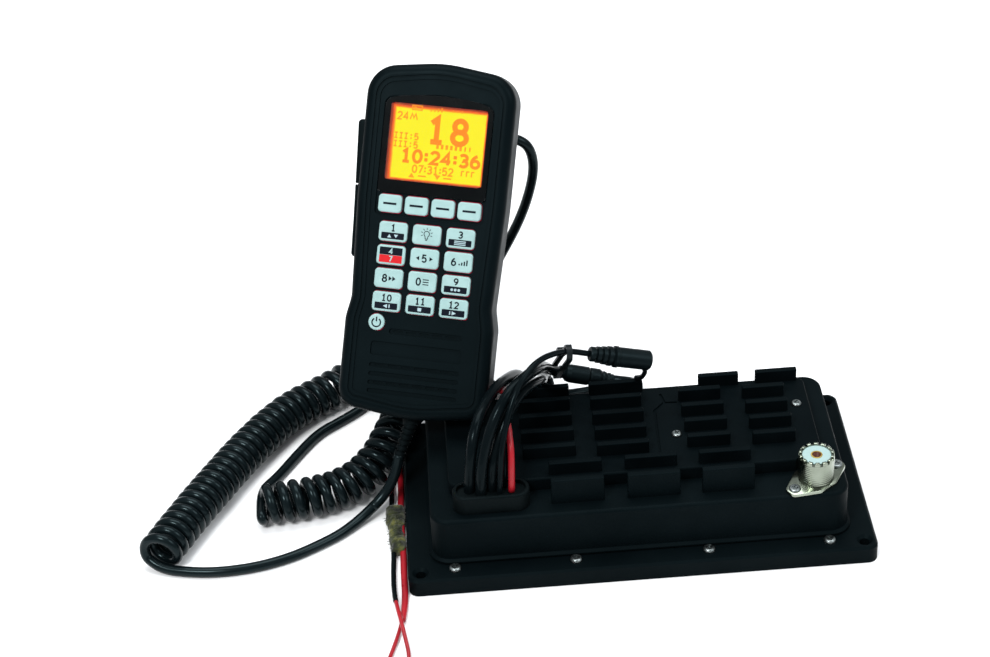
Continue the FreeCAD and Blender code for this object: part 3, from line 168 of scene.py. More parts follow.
M["jacket"] = node_mat("glossy_cable_jacket", (0.0015, 0.0029, 0.0036), 0.15, spec=0.050, tint=(0.70, 0.95, 1.0),
                       color2=(0.0026, 0.0043, 0.0051), col_scale=120, rough2=0.22, rough_scale=240,
                       bumps=((420, 0.10, 0.00010),))
M["curly"] = node_mat("curly_cord_jacket", (0.0020, 0.0040, 0.0048), 0.16, spec=0.144, tint=(0.68, 0.95, 1.0),
                      color2=(0.0034, 0.0060, 0.0070), col_scale=70, rough2=0.26, rough_scale=200,
                      bumps=((380, 0.12, 0.00010),))
M["plug"] = node_mat("moulded_plug", (0.0019, 0.0036, 0.0042), 0.32, spec=0.085, tint=TEAL,
                     color2=(0.0030, 0.0049, 0.0056), col_scale=110, rough2=0.44, rough_scale=260,
                     bumps=((1400, 0.2, 0.00006),))
M["nylon"] = node_mat("nylon_tie", (0.003, 0.005, 0.006), 0.34, spec=0.12,
                      color2=(0.006, 0.009, 0.010), col_scale=200, rough2=0.44)
M["red"] = node_mat("red_wire_jacket", (0.33, 0.0085, 0.016), 0.26, spec=0.30,
                    color2=(0.24, 0.006, 0.012), col_scale=70, rough2=0.38, rough_scale=160,
                    bumps=((500, 0.12, 0.00008),))
M["nickel"] = node_mat("nickel_plate", (0.300, 0.335, 0.275), 0.15, metal=1.0, spec=0.5,
                       color2=(0.215, 0.240, 0.190), col_scale=90, rough2=0.24, rough_scale=300,
                       bumps=((900, 0.08, 0.00004),))
M["insul"] = node_mat("cream_insulator", (0.31, 0.43, 0.425), 0.42, spec=0.25,
                      color2=(0.30, 0.42, 0.41), col_scale=300, rough2=0.55, sss=0.1,
                      bumps=((1200, 0.15, 0.00005),))
M["brass"] = node_mat("bright_brass", (0.85, 0.62, 0.18), 0.24, metal=1.0,
                      color2=(0.66, 0.42, 0.12), col_scale=400, rough2=0.36)
# painted shade: dark reddish colour for the inside of the contact's deep hole
M["bore"] = node_mat("contact_bore", (0.09, 0.022, 0.010), 0.45, spec=0.2, color2=(0.05, 0.010, 0.006), col_scale=600)
M["steel"] = node_mat("steel_screw", (0.26, 0.29, 0.29), 0.26, metal=1.0,
                      color2=(0.16, 0.18, 0.18), col_scale=500, rough2=0.42, rough_scale=700,
                      bumps=((1500, 0.15, 0.00004),))
M["black_screw"] = node_mat("blackened_screw", (0.030, 0.032, 0.034), 0.34, metal=0.8,
                            color2=(0.05, 0.052, 0.055), col_scale=500, rough2=0.46)
M["board"] = node_mat("circuit_board", (0.010, 0.085, 0.040), 0.42, spec=0.4,
                      color2=(0.30, 0.31, 0.30), col_scale=120, rough2=0.3, bumps=((500, 0.4, 0.0002),))
M["module"] = node_mat("display_module_can", (0.10, 0.10, 0.10), 0.45, metal=0.6, color2=(0.16, 0.16, 0.15), col_scale=150)
M["cone"] = node_mat("speaker_cone", (0.010, 0.011, 0.012), 0.7, spec=0.2, color2=(0.02, 0.021, 0.022), col_scale=400,
                     bumps=((900, 0.5, 0.0002),))
M["coat"] = node_mat("hanger_powder_coat", (0.0022, 0.0035, 0.0039), 0.44, spec=0.063, tint=TEAL,
                     color2=(0.0035, 0.0050, 0.0056), col_scale=50, rough2=0.56,
                     bumps=((900, 0.35, 0.00012),))
M["key"] = node_mat("off_white_key", (0.2960, 0.4440, 0.4366), 0.38, spec=0.175, color2=(0.2590, 0.3996, 0.3922), col_scale=160,
                    rough2=0.48, rough_scale=300, sss=0.12,
                    bumps=((1600, 0.10, 0.00004),))
M["ink"] = node_mat("dark_legend_ink", (0.0022, 0.0040, 0.0085), 0.42, spec=0.05, color2=(0.0040, 0.0066, 0.0120), col_scale=500)
M["ink_light"] = node_mat("light_legend_ink", (0.34, 0.46, 0.49), 0.45, spec=0.25, color2=(0.26, 0.37, 0.40), col_scale=500)
M["ink_red"] = node_mat("red_legend_ink", (0.46, 0.010, 0.014), 0.40, spec=0.10, color2=(0.50, 0.010, 0.016), col_scale=400)
M["mat_glow"] = node_mat("key_mat_backlight", (0.30, 0.01, 0.03), 0.6, spec=0.1, color2=(0.2, 0.008, 0.02), col_scale=200,
                         emission=(1.0, 0.02, 0.10), emit=0.40)
M["mask"] = node_mat("display_mask", (0.0010, 0.0016, 0.0019), 0.14, spec=0.08, color2=(0.0018, 0.0026, 0.0030), col_scale=80,
                     rough2=0.18)
M["pane"] = node_mat("display_pane", (0.97, 0.98, 0.98), 0.03, spec=0.06, transmission=1.0, ior=1.45)
M["digit"] = node_mat("display_digits", (0.20, 0.05, 0.0), 0.6, spec=0.0, emission=(0.905, 0.240, 0.0044), emit=1.0)
M["digit_soft"] = node_mat("display_small_digits", (0.25, 0.10, 0.0), 0.6, spec=0.0, emission=(0.905, 0.275, 0.0044), emit=1.0)
M["copper"] = node_mat("stripped_copper", (0.75, 0.33, 0.18), 0.35, metal=1.0, color2=(0.55, 0.22, 0.12), col_scale=900)

CAD_LOOK = {
    "front_plate": "cast", "chassis": "cast", "heat_sink": "sink", "plate_gasket": "rubber", "cable_gland": "rubber",
    "plate_screws": "steel", "heat_sink_screws": "steel", "socket_screws": "steel", "shell_screws": "black_screw",
    "hanger_screws": "steel", "socket_shell": "nickel", "socket_insulator": "insul", "socket_contact": "brass",
    "main_board": "board", "handset_board": "board", "hanger_arm": "coat", "hanger_plate": "coat", "hanger_stud": "steel",
    "front_shell": "shell", "rear_shell": "shell", "ptt_bar": "ptt", "display_lens": "mask", "lcd_module": "module",
    "key_mat": "mat_glow", "speaker": "cone", "microphone": "steel", "strain_relief": "rubber", "plug_a": "plug",
    "socket_b": "plug", "handset_plug": "plug", "accessory_plugs": "plug", "cable_ties": "nylon",
    "cable_a": "jacket", "cable_b": "jacket", "cable_c": "jacket", "accessory_lead": "jacket", "power_red": "red",
    "power_black": "jacket", "lead_wrap": "rubber", "power_coil": "red", "handset_lead": "curly", "handset_coil": "curly",
    "handset_tail": "curly",
}
for name, obj in NODES.items():
    look = CAD_LOOK.get(name, "key")
    if not obj.material_slots:
        obj.data.materials.append(M[look])
    for s in obj.material_slots:
        s.material = M[look]


# ------------------------------------------------------------------ helpers
def link(obj):
    bpy.context.scene.collection.objects.link(obj)
    return obj


def piece(name, verts, faces, mat, body="transceiver", smooth=True, replaces=(), fix=True):
    me = bpy.data.meshes.new(name)
    me.from_pydata([tuple(v) for v in verts], [], faces)
    if fix:
        b = bmesh.new()
        b.from_mesh(me)
        bmesh.ops.recalc_face_normals(b, faces=b.faces)
        b.to_mesh(me)
        b.free()
    me.materials.append(M[mat])
    for p in me.polygons:
        p.use_smooth = smooth
    o = link(bpy.data.objects.new(name, me))
    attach(o, body)
    if replaces:
        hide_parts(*replaces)
    return o


def sharp(o, deg=35):
    """Splits shading at hard edges, as a modifier."""
    m = o.modifiers.new("edges", "EDGE_SPLIT")
    m.split_angle = math.radians(deg)
    return o


def nurbs(name, pts, dia, mat, body="transceiver", res=8, ring=5, replaces=(), radii=None):
    cu = bpy.data.curves.new(name, "CURVE")
    cu.dimensions = "3D"
    sp = cu.splines.new("NURBS")
    sp.points.add(len(pts) - 1)
    for i, p in enumerate(pts):
        sp.points[i].co = (p[0], p[1], p[2], 1.0)
        if radii:
            sp.points[i].radius = radii[i]
    sp.order_u = 3
    sp.use_endpoint_u = True
    cu.resolution_u = res
    cu.bevel_depth = dia / 2
    cu.bevel_resolution = ring
    cu.use_fill_caps = True
    cu.materials.append(M[mat])
    o = link(bpy.data.objects.new(name, cu))
    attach(o, body)
    if replaces:
        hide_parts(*replaces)
    return o


def centreline(pts, res=12):
    """Points read from the route's own NURBS spline."""
    cu = bpy.data.curves.new("route", "CURVE")
    cu.dimensions = "3D"
    sp = cu.splines.new("NURBS")
    sp.points.add(len(pts) - 1)
    for i, p in enumerate(pts):
        sp.points[i].co = (p[0], p[1], p[2], 1.0)
    sp.order_u = 3
    sp.use_endpoint_u = True
    cu.resolution_u = res
    o = link(bpy.data.objects.new("route", cu))
    bpy.context.view_layer.update()
    me = bpy.data.meshes.new_from_object(o)
    out = [v.co.copy() for v in me.vertices]
    bpy.data.objects.remove(o)
    bpy.data.curves.remove(cu)
    bpy.data.meshes.remove(me)
    return out


def measure(line):
    s = [0.0]
    for i in range(1, len(line)):
        s.append(s[-1] + (line[i] - line[i - 1]).length)
    return s


def frames(line, first):
    """Rotation-minimising frames along a line: tangent, normal, binormal."""
    out = []
    n = Vector(first)
    for i, p in enumerate(line):
        t = (line[min(i + 1, len(line) - 1)] - line[max(i - 1, 0)]).normalized()
        n = (n - t * n.dot(t)).normalized()
        out.append((t, n.copy(), t.cross(n)))
    return out


def at(line, s, fr, x):
    """Point and frame at length x along the line."""
    x = max(0.0, min(x, s[-1]))
    lo, hi = 0, len(s) - 1
    while hi - lo > 1:
        mid = (lo + hi) // 2
        if s[mid] <= x:
            lo = mid
        else:
            hi = mid
    k = (x - s[lo]) / max(s[hi] - s[lo], 1e-9)
    t, n, b = (fr[lo][j].lerp(fr[hi][j], k).normalized() for j in range(3))
    return line[lo].lerp(line[hi], k), t, n, b


def sweep(line, radius, sides=16, first=(0, 0, 1), caps=True, wobble=None):
    """Tube mesh round a polyline; radius is a number or a function of (index, angle)."""
    fr = frames(line, first)
    verts, faces = [], []
    for i, p in enumerate(line):
        t, n, b = fr[i]
        for k in range(sides):
            a = 2 * math.pi * k / sides
            r = radius(i, a) if callable(radius) else radius
            verts.append(p + (n * math.cos(a) + b * math.sin(a)) * r)
    for i in range(len(line) - 1):
        for k in range(sides):
            k2 = (k + 1) % sides
            faces.append((i * sides + k, i * sides + k2, (i + 1) * sides + k2, (i + 1) * sides + k))
    if caps:
        faces.append(tuple(range(sides - 1, -1, -1)))
        faces.append(tuple((len(line) - 1) * sides + k for k in range(sides)))
    return verts, faces


def merge(lists):
    verts, faces = [], []
    for v, f in lists:
        o = len(verts)
        verts += list(v)
        faces += [tuple(i + o for i in q) for q in f]
    return verts, faces


def lathe(profile, sides=96, radius_of=None):
    """Closed revolve about Z of (r, z) points given in mm; end points on the axis close it."""
    verts, faces, rows = [], [], []
    for r, z in profile:
        if r < 1e-6:
            rows.append([len(verts)])
            verts.append(Vector((0, 0, z)))
        else:
            rows.append(list(range(len(verts), len(verts) + sides)))
            for k in range(sides):
                a = 2 * math.pi * k / sides
                verts.append(Vector((r * math.cos(a), r * math.sin(a), z)))
    for a, b in zip(rows, rows[1:]):
        for k in range(sides):
            k2 = (k + 1) % sides
            if len(a) == 1 and len(b) == 1:
                continue
            if len(a) == 1:
                faces.append((a[0], b[k2], b[k]))
            elif len(b) == 1:
                faces.append((a[k], a[k2], b[0]))
            else:
                faces.append((a[k], a[k2], b[k2], b[k]))
    return verts, faces


def placed(vf, m):
    return [m @ v for v in vf[0]], vf[1]


# handset frame: a to the right, b up the face, c out of the face, all in mm
HS = (Matrix.Translation(Vector((-84.95, 50.38, 119.81)) * MM)
      @ Matrix.Rotation(math.radians(-11.23), 4, "Z")
      @ Matrix.Rotation(math.radians(57.57), 4, "X")
      @ Matrix.Rotation(math.radians(-3.95), 4, "Z")
      @ Matrix.Scale(MM, 4))


def prism(outline, c0, c1, holes=()):
    """Closed prism of one outline in the (a, b) plane between heights c0 and c1, in mm."""
    n = len(outline)
    verts = [Vector((x, y, c0)) for x, y in outline] + [Vector((x, y, c1)) for x, y in outline]
    faces = [tuple(range(n - 1, -1, -1)), tuple(range(n, 2 * n))]
    faces += [(i, (i + 1) % n, n + (i + 1) % n, n + i) for i in range(n)]
    return verts, faces


def round_rect(cx, cy, w, h, r, n=5):
    out = []
    for sx, sy, a0 in ((1, -1, -90), (1, 1, 0), (-1, 1, 90), (-1, -1, 180)):
        for k in range(n + 1):
            a = math.radians(a0 + 90 * k / n)
            out.append((cx + sx * (w / 2 - r) + r * math.cos(a), cy + sy * (h / 2 - r) + r * math.sin(a)))
    return out


def disc(cx, cy, r, n=16):
    return [(cx + r * math.cos(2 * math.pi * k / n), cy + r * math.sin(2 * math.pi * k / n)) for k in range(n)]


def arc(cx, cy, rx, ry, a0, a1, n=10):
    return [(cx + rx * math.cos(math.radians(a0 + (a1 - a0) * k / n)),
             cy + ry * math.sin(math.radians(a0 + (a1 - a0) * k / n))) for k in range(n + 1)]


def ribbon(pts, width, c0, c1, closed=False):
    """A stroke of even width along 2-D points, as a closed solid."""
    P = [Vector((x, y)) for x, y in pts]
    if closed and (P[0] - P[-1]).length < 1e-6:
        P = P[:-1]
    n = len(P)
    left, right_ = [], []
    for i in range(n):
        if closed:
            d0 = (P[i] - P[i - 1]).normalized()
            d1 = (P[(i + 1) % n] - P[i]).normalized()
        else:
            d0 = (P[i] - P[i - 1]).normalized() if i else (P[1] - P[0]).normalized()
            d1 = (P[i + 1] - P[i]).normalized() if i < n - 1 else d0
        n0, n1 = Vector((-d0.y, d0.x)), Vector((-d1.y, d1.x))
        m = n0 + n1
        if m.length < 1e-6:
            m = n0
        m.normalize()
        k = width / 2 / max(0.45, m.dot(n0))
        left.append(P[i] + m * k)
        right_.append(P[i] - m * k)
    verts = []
    for i in range(n):
        for q in (left[i], right_[i]):
            verts += [Vector((q.x, q.y, c0)), Vector((q.x, q.y, c1))]
    faces = []
    for i in range(n if closed else n - 1):
        a, b = 4 * i, 4 * ((i + 1) % n)
        faces += [(a + 1, a + 3, b + 3, b + 1), (a, b, b + 2, a + 2), (a, a + 1, b + 1, b), (a + 2, b + 2, b + 3, a + 3)]
    if not closed:
        e = 4 * (n - 1)
        faces += [(0, 2, 3, 1), (e, e + 1, e + 3, e + 2)]
    return verts, faces


# plain digit strokes in a box 1 wide and 1.6 high: (points, closed)
DIGITS = {
    "0": [(arc(.5, .8, .46, .8, 90, 450, 22), True)],
    "1": [([(.14, 1.28), (.52, 1.6), (.52, 0.0)], False), ([(.14, 0.0), (.90, 0.0)], False)],
    "2": [(arc(.5, 1.14, .44, .46, 165, -30, 12) + [(.06, 0.0), (.98, 0.0)], False)],
    "3": [(arc(.46, 1.20, .42, .40, 150, -80, 10) + arc(.46, .42, .46, .42, 80, -150, 12), False)],
    "4": [([(.72, 0.0), (.72, 1.6), (.02, .48), (1.0, .48)], False)],
    "5": [([(.90, 1.6), (.18, 1.6), (.10, .86)] + arc(.47, .50, .46, .50, 118, -150, 14), False)],
    "6": [(arc(.5, .48, .45, .48, 90, 450, 18), True), (arc(.92, .50, .87, 1.12, 176, 104, 8), False)],
    "7": [([(.04, 1.6), (.96, 1.6), (.36, 0.0)], False)],
    "8": [(arc(.5, 1.20, .38, .40, 90, 450, 16), True), (arc(.5, .42, .46, .42, 90, 450, 18), True)],
    "9": [(arc(.5, 1.12, .45, .48, 90, 450, 18), True), (arc(.08, 1.10, .87, 1.12, -4, -76, 8), False)],
}


def digits(text, cx, cy, h, stroke, c0, c1, aspect=1.0, gap=0.42):
    """Digits centred on (cx, cy), h high."""
    k = h / 1.6
    widths = [0.36 if ch == ":" else 1.0 for ch in text]
    total = sum(widths) + gap * (len(text) - 1)
    x = cx - total * k * aspect / 2
    out = []
    for ch, w in zip(text, widths):
        if ch == ":":
            for yy in (.45, 1.15):
                out.append(prism(round_rect(x + .18 * k * aspect, cy + (yy - .8) * k, stroke * 1.1, stroke * 1.1, stroke * .2, 2), c0, c1))
        elif ch in DIGITS:
            for pts, closed in DIGITS[ch]:
                out.append(ribbon([(x + px * k * aspect, cy + (py - .8) * k) for px, py in pts], stroke, c0, c1, closed))
        x += (w + gap) * k * aspect
    return out


def on_handset(name, parts, mat, body, smooth=False):
    v, f = merge(parts)
    return piece(name, [HS @ p for p in v], f, mat, body, smooth=smooth)


# ------------------------------------------------------------------ cords
D_CORD, D_THICK, D_THIN, D_RED, D_BLACK = 0.0048, 0.0050, 0.0027, 0.0030, 0.0024
D_CORE = 0.0018


def mm(points):
    return [Vector(p) * MM for p in points]


R_LEAD = mm([(-105.43, 9.77, 26.60), (-106.86, 8.18, 21.2), (-109.7, 6.05, 14.6), (-114.12, 3.35, 9.2),
             (-119.76, -0.28, 5.6), (-126.28, -5.63, 3.1), (-134.57, -13.14, 2.4), (-145.12, -20, 2.4),
             (-157.17, -26.53, 2.4), (-172.38, -31.21, 2.4), (-188.94, -32.63, 2.4), (-202.02, -31.1, 2.4),
             (-213.44, -27.67, 2.4)])
R_COIL = mm([(-215.8, -26.7, 9.9), (-207.1, -8.8, 9.9), (-196.7, 11, 9.9), (-181.6, 38.1, 9.9), (-170.9, 54.7, 9.9),
             (-161.6, 67.1, 9.9), (-151.2, 76.6, 9.9), (-139.7, 84.1, 9.9), (-130, 90.2, 11.2), (-119, 94.6, 14.5),
             (-107.5, 93.5, 16.9), (-100, 84, 17.9), (-97.7, 71.5, 18.8), (-100, 57.5, 19.4), (-105, 44.2, 19.4),
             (-109.4, 33.1, 18), (-115, 24.6, 14.3), (-122.1, 17.2, 11.1), (-132.3, 10.5, 9.9), (-144.1, 6.2, 9.9),
             (-157.8, 4.2, 9.9), (-170.9, 3, 9.9)])
R_TAIL = mm([(-172.5, 13.5, 7), (-171, 20, 4), (-164, 30.8, 2.4), (-155, 46.4, 2.4), (-145, 62.1, 2.4),
             (-133.5, 70.5, 2.4), (-122.5, 80, 2.4), (-111.5, 93, 2.4), (-99, 104.5, 2.4), (-89, 110, 7),
             (-83, 111.5, 19), (-80.5, 110.5, 36), (-79.3, 108.5, 54), (-78.2, 106, 72), (-76.8, 103.4, 90),
             (-74.8, 101, 105), (-73.2, 99.5, 113.5), (-71.2, 105, 121.5), (-67.5, 109, 129.5), (-61.5, 109.5, 135.6),
             (-54, 106, 137.8), (-46.5, 102, 137.3), (-40.5, 100, 136.3), (-36, 100, 133), (-33.8, 100, 127),
             (-33.5, 100, 119.5), (-35, 100, 110.8), (-38.2, 100, 99.9), (-42.6, 100, 89), (-48.3, 99.5, 78),
             (-55, 97, 67.5), (-61, 93, 55.5), (-65, 89, 43), (-66.5, 84.5, 30), (-64, 80, 18), (-57, 76.5, 8.5),
             (-47.5, 73.8, 3.4), (-38.5, 71.5, 2.4), (-29.5, 69.6, 2.4), (-20, 67.2, 2.4), (-10.5, 65.4, 2.4),
             (-3, 63.6, 4.6), (2.5, 61, 10.5), (5.2, 56.6, 18.5), (6.2, 51, 26), (6, 45.5, 32), (4.2, 40.8, 36.2),
             (0.5, 38.6, 38.6), (-4, 38, 40.1)])
R_A = mm([(-64.4, -33, 39.3), (-64, -33, 49.4), (-61.8, -30, 57.2), (-58.8, -25.6, 64.6), (-55, -19.8, 70.6),
          (-50, -12, 73.6), (-44.5, -3.5, 72), (-40.3, 5.5, 67), (-38.4, 14.5, 60.5), (-37.9, 23.5, 53.8),
          (-37.2, 31.3, 48.3), (-36.3, 38.2, 46), (-35.3, 44.3, 42.6), (-34.5, 48.4, 38.6), (-34.5, 49.5, 34.7)])
R_B = mm([(-69.4, -35.5, 39.3), (-69.1, -34.8, 49.7), (-66.4, -31.3, 60.5), (-63.4, -27.9, 68.5), (-59.3, -23.2, 75.3),
          (-53.8, -16.8, 80), (-47.2, -9, 81), (-41.5, 0.5, 77.6), (-38.6, 10.5, 71.3), (-37, 20, 64.6),
          (-35.6, 28.5, 57.6), (-33.2, 34.5, 51.4), (-28.9, 38, 47.2)])
R_C = mm([(-74.4, -33.2, 39.3), (-73.9, -32.4, 48), (-72.6, -30.4, 57.8), (-70.5, -25.3, 65.3), (-67.4, -17.6, 69.1),
          (-62.3, -5.1, 69.2), (-58.6, 4, 67.4), (-54.1, 15.1, 62.7), (-49, 30, 54), (-45.5, 42, 42), (-42, 53, 29),
          (-37, 62.5, 17.5), (-29.5, 69.5, 9.2), (-20, 74.5, 5.2), (-9, 77, 4.8)])
R_ACC = mm([(-61.3, -36.4, 39.3), (-60.41, -36.05, 49.41), (-59.64, -34.22, 58.76), (-57.83, -30.71, 66.69),
            (-55.2, -26.4, 74.3), (-51.8, -20.9, 81.2), (-46.8, -14.4, 86.6), (-40.2, -6.9, 88.4), (-32.6, 0.9, 85.8),
            (-25.9, 7.2, 81.6), (-20.77, 10, 78.4), (-16.42, 11.85, 75.79)])
R_RED = mm([(-55.9, -35.6, 39.3), (-55.4, -33.94, 49.05), (-54.97, -29.76, 58.4), (-55.35, -22.5, 63.26),
            (-55.98, -16.24, 66.76), (-55.39, -11.33, 70.13), (-54.04, -5.5, 69.69), (-53.52, 2.13, 65.74),
            (-54.63, 10.34, 59.99), (-56.68, 19.77, 52.5), (-58.2, 37.5, 40), (-58.2, 46.5, 31), (-58.8, 53, 21.5),
            (-60.8, 57.8, 12), (-66, 59.4, 4.2), (-74.5, 58.8, 1.6), (-85, 58.5, 1.6), (-94.5, 59.8, 1.6),
            (-102.4, 58.6, 1.6), (-107.3, 53.4, 1.6), (-107.6, 44.5, 1.6), (-106.3, 32.5, 1.6), (-105.95, 17, 1.9),
            (-106.4, 2, 2.6), (-106.5, -14, 2.8), (-106, -29.5, 2.1), (-106.15, -45, 1.7), (-105.9, -59, 1.6),
            (-107.1, -70, 1.6), (-109.6, -81, 1.6), (-112.4, -91, 1.6), (-115.4, -100.4, 1.6),
            (-119.0, -107.6, 1.7)])
R_BLACK = mm([(-58.8, -31.9, 39.3), (-58.04, -32.22, 48.45), (-57.49, -28.16, 56.78), (-57.26, -21.47, 60.38),
              (-55.79, -13.23, 63.26), (-52.98, -6.72, 65.49), (-50.56, 0.24, 64.94), (-49.96, 9.46, 59.78),
              (-50.51, 18.9, 54.03), (-51.8, 30, 48.3), (-53, 40, 42.2), (-54, 48.5, 32), (-56.2, 56.5, 20),
              (-60.5, 62.8, 9.5), (-67, 65.2, 2.6), (-76, 63.6, 1.5), (-86, 62.4, 1.5), (-96, 63.6, 1.5),
              (-105, 62.4, 1.5), (-110.9, 56.6, 1.5), (-111.8, 47, 1.5), (-110.5, 34.5, 1.5), (-110.3, 19, 1.8),
              (-110.7, 4, 2.6), (-110.8, -12, 2.8), (-110.2, -27.5, 2), (-110.9, -42, 1.6), (-110.7, -56, 1.8),
              (-109.5, -66.5, 4.4), (-108, -76, 5.2), (-106.4, -86, 3.6), (-104.9, -96, 1.9),
              (-107.3, -103.5, 1.6), (-113.2, -106.5, 3.6)])

# the curly stretch: a right-handed helix round the route's own spline
line = centreline(R_COIL, 10)
s_line = measure(line)
fr_line = frames(line, (0, 0, -1))
R_HELIX = 0.0075
N_TURN = 14
length_c = s_line[-1]


def pitch_at(u):
    """Turns lie close on the far stretch and open where the coil climbs and comes back."""
    k = min(1.0, max(0.0, (u - 0.34) / 0.12))
    k = k * k * (3 - 2 * k)
    end = max(0.0, 1 - u / 0.07)
    sway = noise.noise(Vector((u * 31.0, 4.2, 1.3)))
    return (0.00508 + 0.00105 * k + 0.00035 * math.exp(-((u - 0.56) / 0.08) ** 2) + 0.0012 * end) * (1 + (0.05 + 0.12 * k) * sway)


steps, x, phase = [], 0.0, 0.0
while x < length_c:
    steps.append((x, phase))
    x += pitch_at(x / length_c) / N_TURN
    phase += 2 * math.pi / N_TURN
helix = []
for i, (x, ph) in enumerate(steps):
    p, t, n, b = at(line, s_line, fr_line, x)
    j = noise.noise(Vector((x * 90.0, 3.1, 0.7)))
    k = noise.noise(Vector((x * 140.0, 9.4, 2.2)))
    r = R_HELIX / 0.975 * (1 - 0.045 * abs(j))
    q = p + (n * math.cos(ph) + b * math.sin(ph)) * r + t * (0.00040 * k)
    helix.append(q)
tail_in = R_TAIL[0]
last = helix[-1]
cord_pts = R_LEAD[:-1] + [R_LEAD[-1] + Vector((-0.0008, 0.0, 0.0))] + helix[2:] + R_TAIL[1:]
cord = nurbs("handset_cord", cord_pts, D_CORD, "curly", "transceiver", res=5, ring=5,
             replaces=("handset_lead", "handset_coil", "handset_tail"))
cord_len = measure(centreline(cord_pts, 5))[-1]

# the lead's first stretch gets a skin a little wider than the cord
skin_line = [p for p, d in zip(centreline(cord_pts, 5), measure(centreline(cord_pts, 5))) if d <= 0.029]
sv, sf = sweep([skin_line[0] + (skin_line[0] - skin_line[1]).normalized() * 0.0014] + skin_line, D_CORD / 2 + 0.00005, 20)
sm = bpy.data.meshes.new("lead_skin")
sm.from_pydata([tuple(q) for q in sv], [], sf)
sm.materials.append(M["curly"])
for q in sm.polygons:
    q.use_smooth = True
skin = link(bpy.data.objects.new("lead_skin", sm))
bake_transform(skin)

cable_a = nurbs("lead_a", R_A, D_THICK, "jacket", res=10, ring=6, replaces=("cable_a",))
cable_b = nurbs("lead_b", R_B, D_THICK, "jacket", res=10, ring=6, replaces=("cable_b",))
cable_c = nurbs("lead_c", R_C, D_THICK, "jacket", res=10, ring=6, replaces=("cable_c",))
acc = nurbs("lead_thin", R_ACC, D_THIN, "jacket", res=8, ring=5, replaces=("accessory_lead",))
for o, pts, dia, ends in ((cable_a, R_A, D_THICK, [NODES["accessory_plugs"]]), (cable_b, R_B, D_THICK, [NODES["socket_b"]]),
                          (cable_c, R_C, D_THICK, [NODES["accessory_plugs"]]), (acc, R_ACC, D_THIN, [NODES["plug_a"]])):
    round(measure(centreline(pts, 8))[-1], 3)


# power leads: a thin red core each, run into the tied coil of spare length
def coil_points(entry, slots, centre, turns, start_deg, per_turn=14):
    """Turns of a neat coil; slots are (dr, dz) places in its section, one a turn."""
    out = []
    n = int(turns * per_turn)
    for i in range(n + 1):
        u = i / per_turn
        k = int(u)
        a, b_ = slots[min(k, len(slots) - 1)], slots[min(k + 1, len(slots) - 1)]
        w = u - k
        w = 0.0 if w < 0.55 else (w - 0.55) / 0.45
        w = w * w * (3 - 2 * w)
        dr, dz = a[0] + (b_[0] - a[0]) * w, a[1] + (b_[1] - a[1]) * w
        ang = math.radians(start_deg) + 2 * math.pi * u
        rr = (18.0 + dr) / math.cos(math.pi / per_turn) ** 1.0
        out.append(Vector((centre[0] + rr * math.cos(ang), centre[1] + rr * math.sin(ang), centre[2] + dz)) * MM)
    return out


CENTRE = (-108.0, -128.0, 4.5)
slots_r = [(-0.1, -3.4), (1.8, -2.8), (-2.0, -2.6), (0.9, -0.9), (-1.1, 0.9), (1.0, 2.6)]
slots_b = [(-0.9, -1.4), (2.9, -1.0), (-3.0, -0.8), (2.9, 0.9), (-2.9, 1.1), (-1.0, 2.8)]
coil_r = coil_points(R_RED[-1], slots_r, CENTRE, 5.85, 124)
coil_b = coil_points(R_BLACK[-1], slots_b, CENTRE, 5.80, 112)
core_r_pts = R_RED + coil_r
core_b_pts = R_BLACK + coil_b
core_r = nurbs("power_lead_red", core_r_pts, D_CORE, "red", res=6, ring=4, replaces=("power_red", "power_coil"))
core_b = nurbs("power_lead_black", core_b_pts, D_CORE, "red", res=6, ring=4, replaces=("power_black",))


def sleeve(name, pts, dia, mat, upto):
    """Outer jacket over the core from the gland to a cut end, as a swept mesh."""
    ln = centreline(pts, 10)
    s_ = measure(ln)
    keep_ = [p for p, d in zip(ln, s_) if d <= upto]
    n = len(keep_)
    r = dia / 2

    def rad(i, a):
        e = 1.0 + 0.03 * noise.noise(Vector((i * 0.13, math.cos(a), math.sin(a))))
        return r * e * (1.0 if i < n - 1 else 0.93)
    v, f = sweep(keep_, rad, 18)
    return piece(name, v, f, mat)


len_red = measure(centreline(R_RED, 10))
len_black = measure(centreline(R_BLACK, 10))
sleeve_r = sleeve("red_sleeve", R_RED, D_RED, "red", len_red[-1] * 0.894)
sleeve_b = sleeve("black_sleeve", R_BLACK, D_BLACK, "jacket", len_black[-1] * 0.865)
for o, pts, extra in ((core_r, core_r_pts, sleeve_r), (core_b, core_b_pts, sleeve_b)):
    round(measure(centreline(pts, 6))[-1], 3)

# ------------------------------------------------------------------ floor, lights, world
floor_me = bpy.data.meshes.new("floor")
floor_me.from_pydata([(-6, -6, 0), (6, -6, 0), (6, 6, 0), (-6, 6, 0)], [], [(0, 1, 2, 3)])
floor = link(bpy.data.objects.new("floor", floor_me))
fm = bpy.data.materials.new("pale_floor")
fm.use_nodes = True
fb = fm.node_tree.nodes["Principled BSDF"]
fb.inputs["Base Color"].default_value = (0.90, 0.905, 0.91, 1)
fb.inputs["Roughness"].default_value = 0.85
fb.inputs["Specular IOR Level"].default_value = 0.1
floor_me.materials.append(fm)

world = bpy.data.worlds.new("studio")
bpy.context.scene.world = world
world.use_nodes = True
world.node_tree.nodes["Background"].inputs["Color"].default_value = (0.93, 0.97, 1.0, 1)
world.node_tree.nodes["Background"].inputs["Strength"].default_value = 0.46


